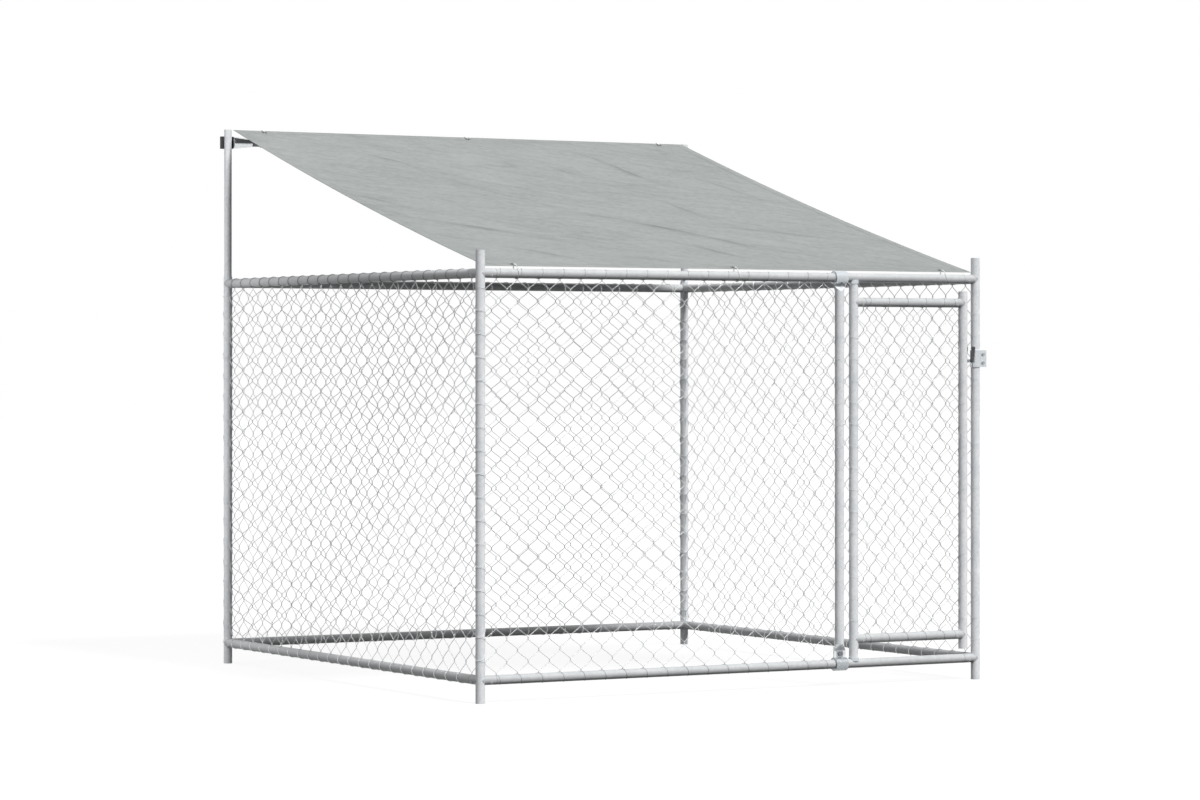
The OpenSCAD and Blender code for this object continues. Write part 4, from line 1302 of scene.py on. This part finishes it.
# %% [markdown]
# ## Floor and light
# The photograph has a plain white ground. The floor and the world are white to the camera and to
# reflections, and darker to other rays, so the undersides stay dark as they do in the photograph.
# A sun from the upper front, a little to the right, gives the form. The sky is brighter above and
# on the left, and a narrow lamp stands beside the left mast. The floor keeps a faint shadow.

# %% Floor
FLOOR_HALF = 60.0
FLOOR_Z = -0.0005
FLOOR_GLOW = 0.9
FLOOR_SEEN = 0.13
FLOOR_UNSEEN = 0.02


def grey(value):
    return (value, value, value, 1)


def seen_directly(graph):
    """One for camera, glossy and transmission rays, and zero for the others."""
    path = graph.add("ShaderNodeLightPath").outputs
    either = graph.math("MAXIMUM", path["Is Camera Ray"], path["Is Glossy Ray"])
    return graph.math("MAXIMUM", either, path["Is Transmission Ray"])


floor_mesh = bpy.data.meshes.new("floor")
corners = [(x * FLOOR_HALF, y * FLOOR_HALF, FLOOR_Z) for x, y in ((-1, -1), (1, -1), (1, 1), (-1, 1))]
floor_mesh.from_pydata(corners, [], [(0, 1, 2, 3)])
floor = put("floor", floor_mesh)
floor_material = bpy.data.materials.new("floor_white")
ground = empty_graph(floor_material)
glow = ground.out("ShaderNodeEmission", {"Color": grey(1), "Strength": FLOOR_GLOW})
matt = ground.out("ShaderNodeBsdfDiffuse", {"Color": grey(FLOOR_SEEN)})
dim = ground.out("ShaderNodeBsdfDiffuse", {"Color": grey(FLOOR_UNSEEN)})
paper = ground.out("ShaderNodeAddShader", {0: glow, 1: matt})
both = ground.out("ShaderNodeMixShader", {0: seen_directly(ground), 1: dim, 2: paper})
ground.add("ShaderNodeOutputMaterial", {"Surface": both})
floor_mesh.materials.append(floor_material)
print("floor", 2 * FLOOR_HALF, "metres wide")

# %% Sky
SKY_LOW, SKY_HIGH = 0.14, 0.64
LEFT_FILL = 0.22
world = bpy.data.worlds.new("studio")
sky = empty_graph(world)
white = sky.out("ShaderNodeBackground", {"Color": grey(1), "Strength": 1.0})
way = sky.parts(sky.add("ShaderNodeTexCoord").outputs["Generated"])
dome = sky.remap(way["Z"], 0.0, 1.0, SKY_LOW, SKY_HIGH)
dome = sky.plus(dome, sky.remap(way["X"], -1.0, 0.0, LEFT_FILL, 0.0))
fill = sky.out("ShaderNodeBackground", {"Color": grey(1), "Strength": dome})
both = sky.out("ShaderNodeMixShader", {0: seen_directly(sky), 1: fill, 2: white})
sky.add("ShaderNodeOutputWorld", {"Surface": both})
scene.world = world
print("sky", len(sky.tree.nodes), "nodes")

# %% Lamps
SUN_HEIGHT = 49.0
SUN_SIDE = 14.0
SUN_SOFTNESS = 12.0
STRIP_PLACE = (-1.77, 0.79, 1.0)
STRIP_TURN = -75.0
key = bpy.data.lights.new("key", "SUN")
key.energy = 3.0
key.angle = math.radians(SUN_SOFTNESS)
put("key", key).rotation_euler = (math.radians(90 - SUN_HEIGHT), 0, math.radians(SUN_SIDE))
strip = bpy.data.lights.new("mast_strip", "AREA")
strip.shape = "RECTANGLE"
strip.size = 0.15
strip.size_y = 2.0
strip.energy = 5.0
strip_lamp = put("mast_strip", strip)
strip_lamp.location = STRIP_PLACE
strip_lamp.rotation_euler = (math.radians(90), 0, math.radians(STRIP_TURN))
scene.view_settings.view_transform = "Standard"
print("lamps", [lamp.name for lamp in bpy.data.lights])
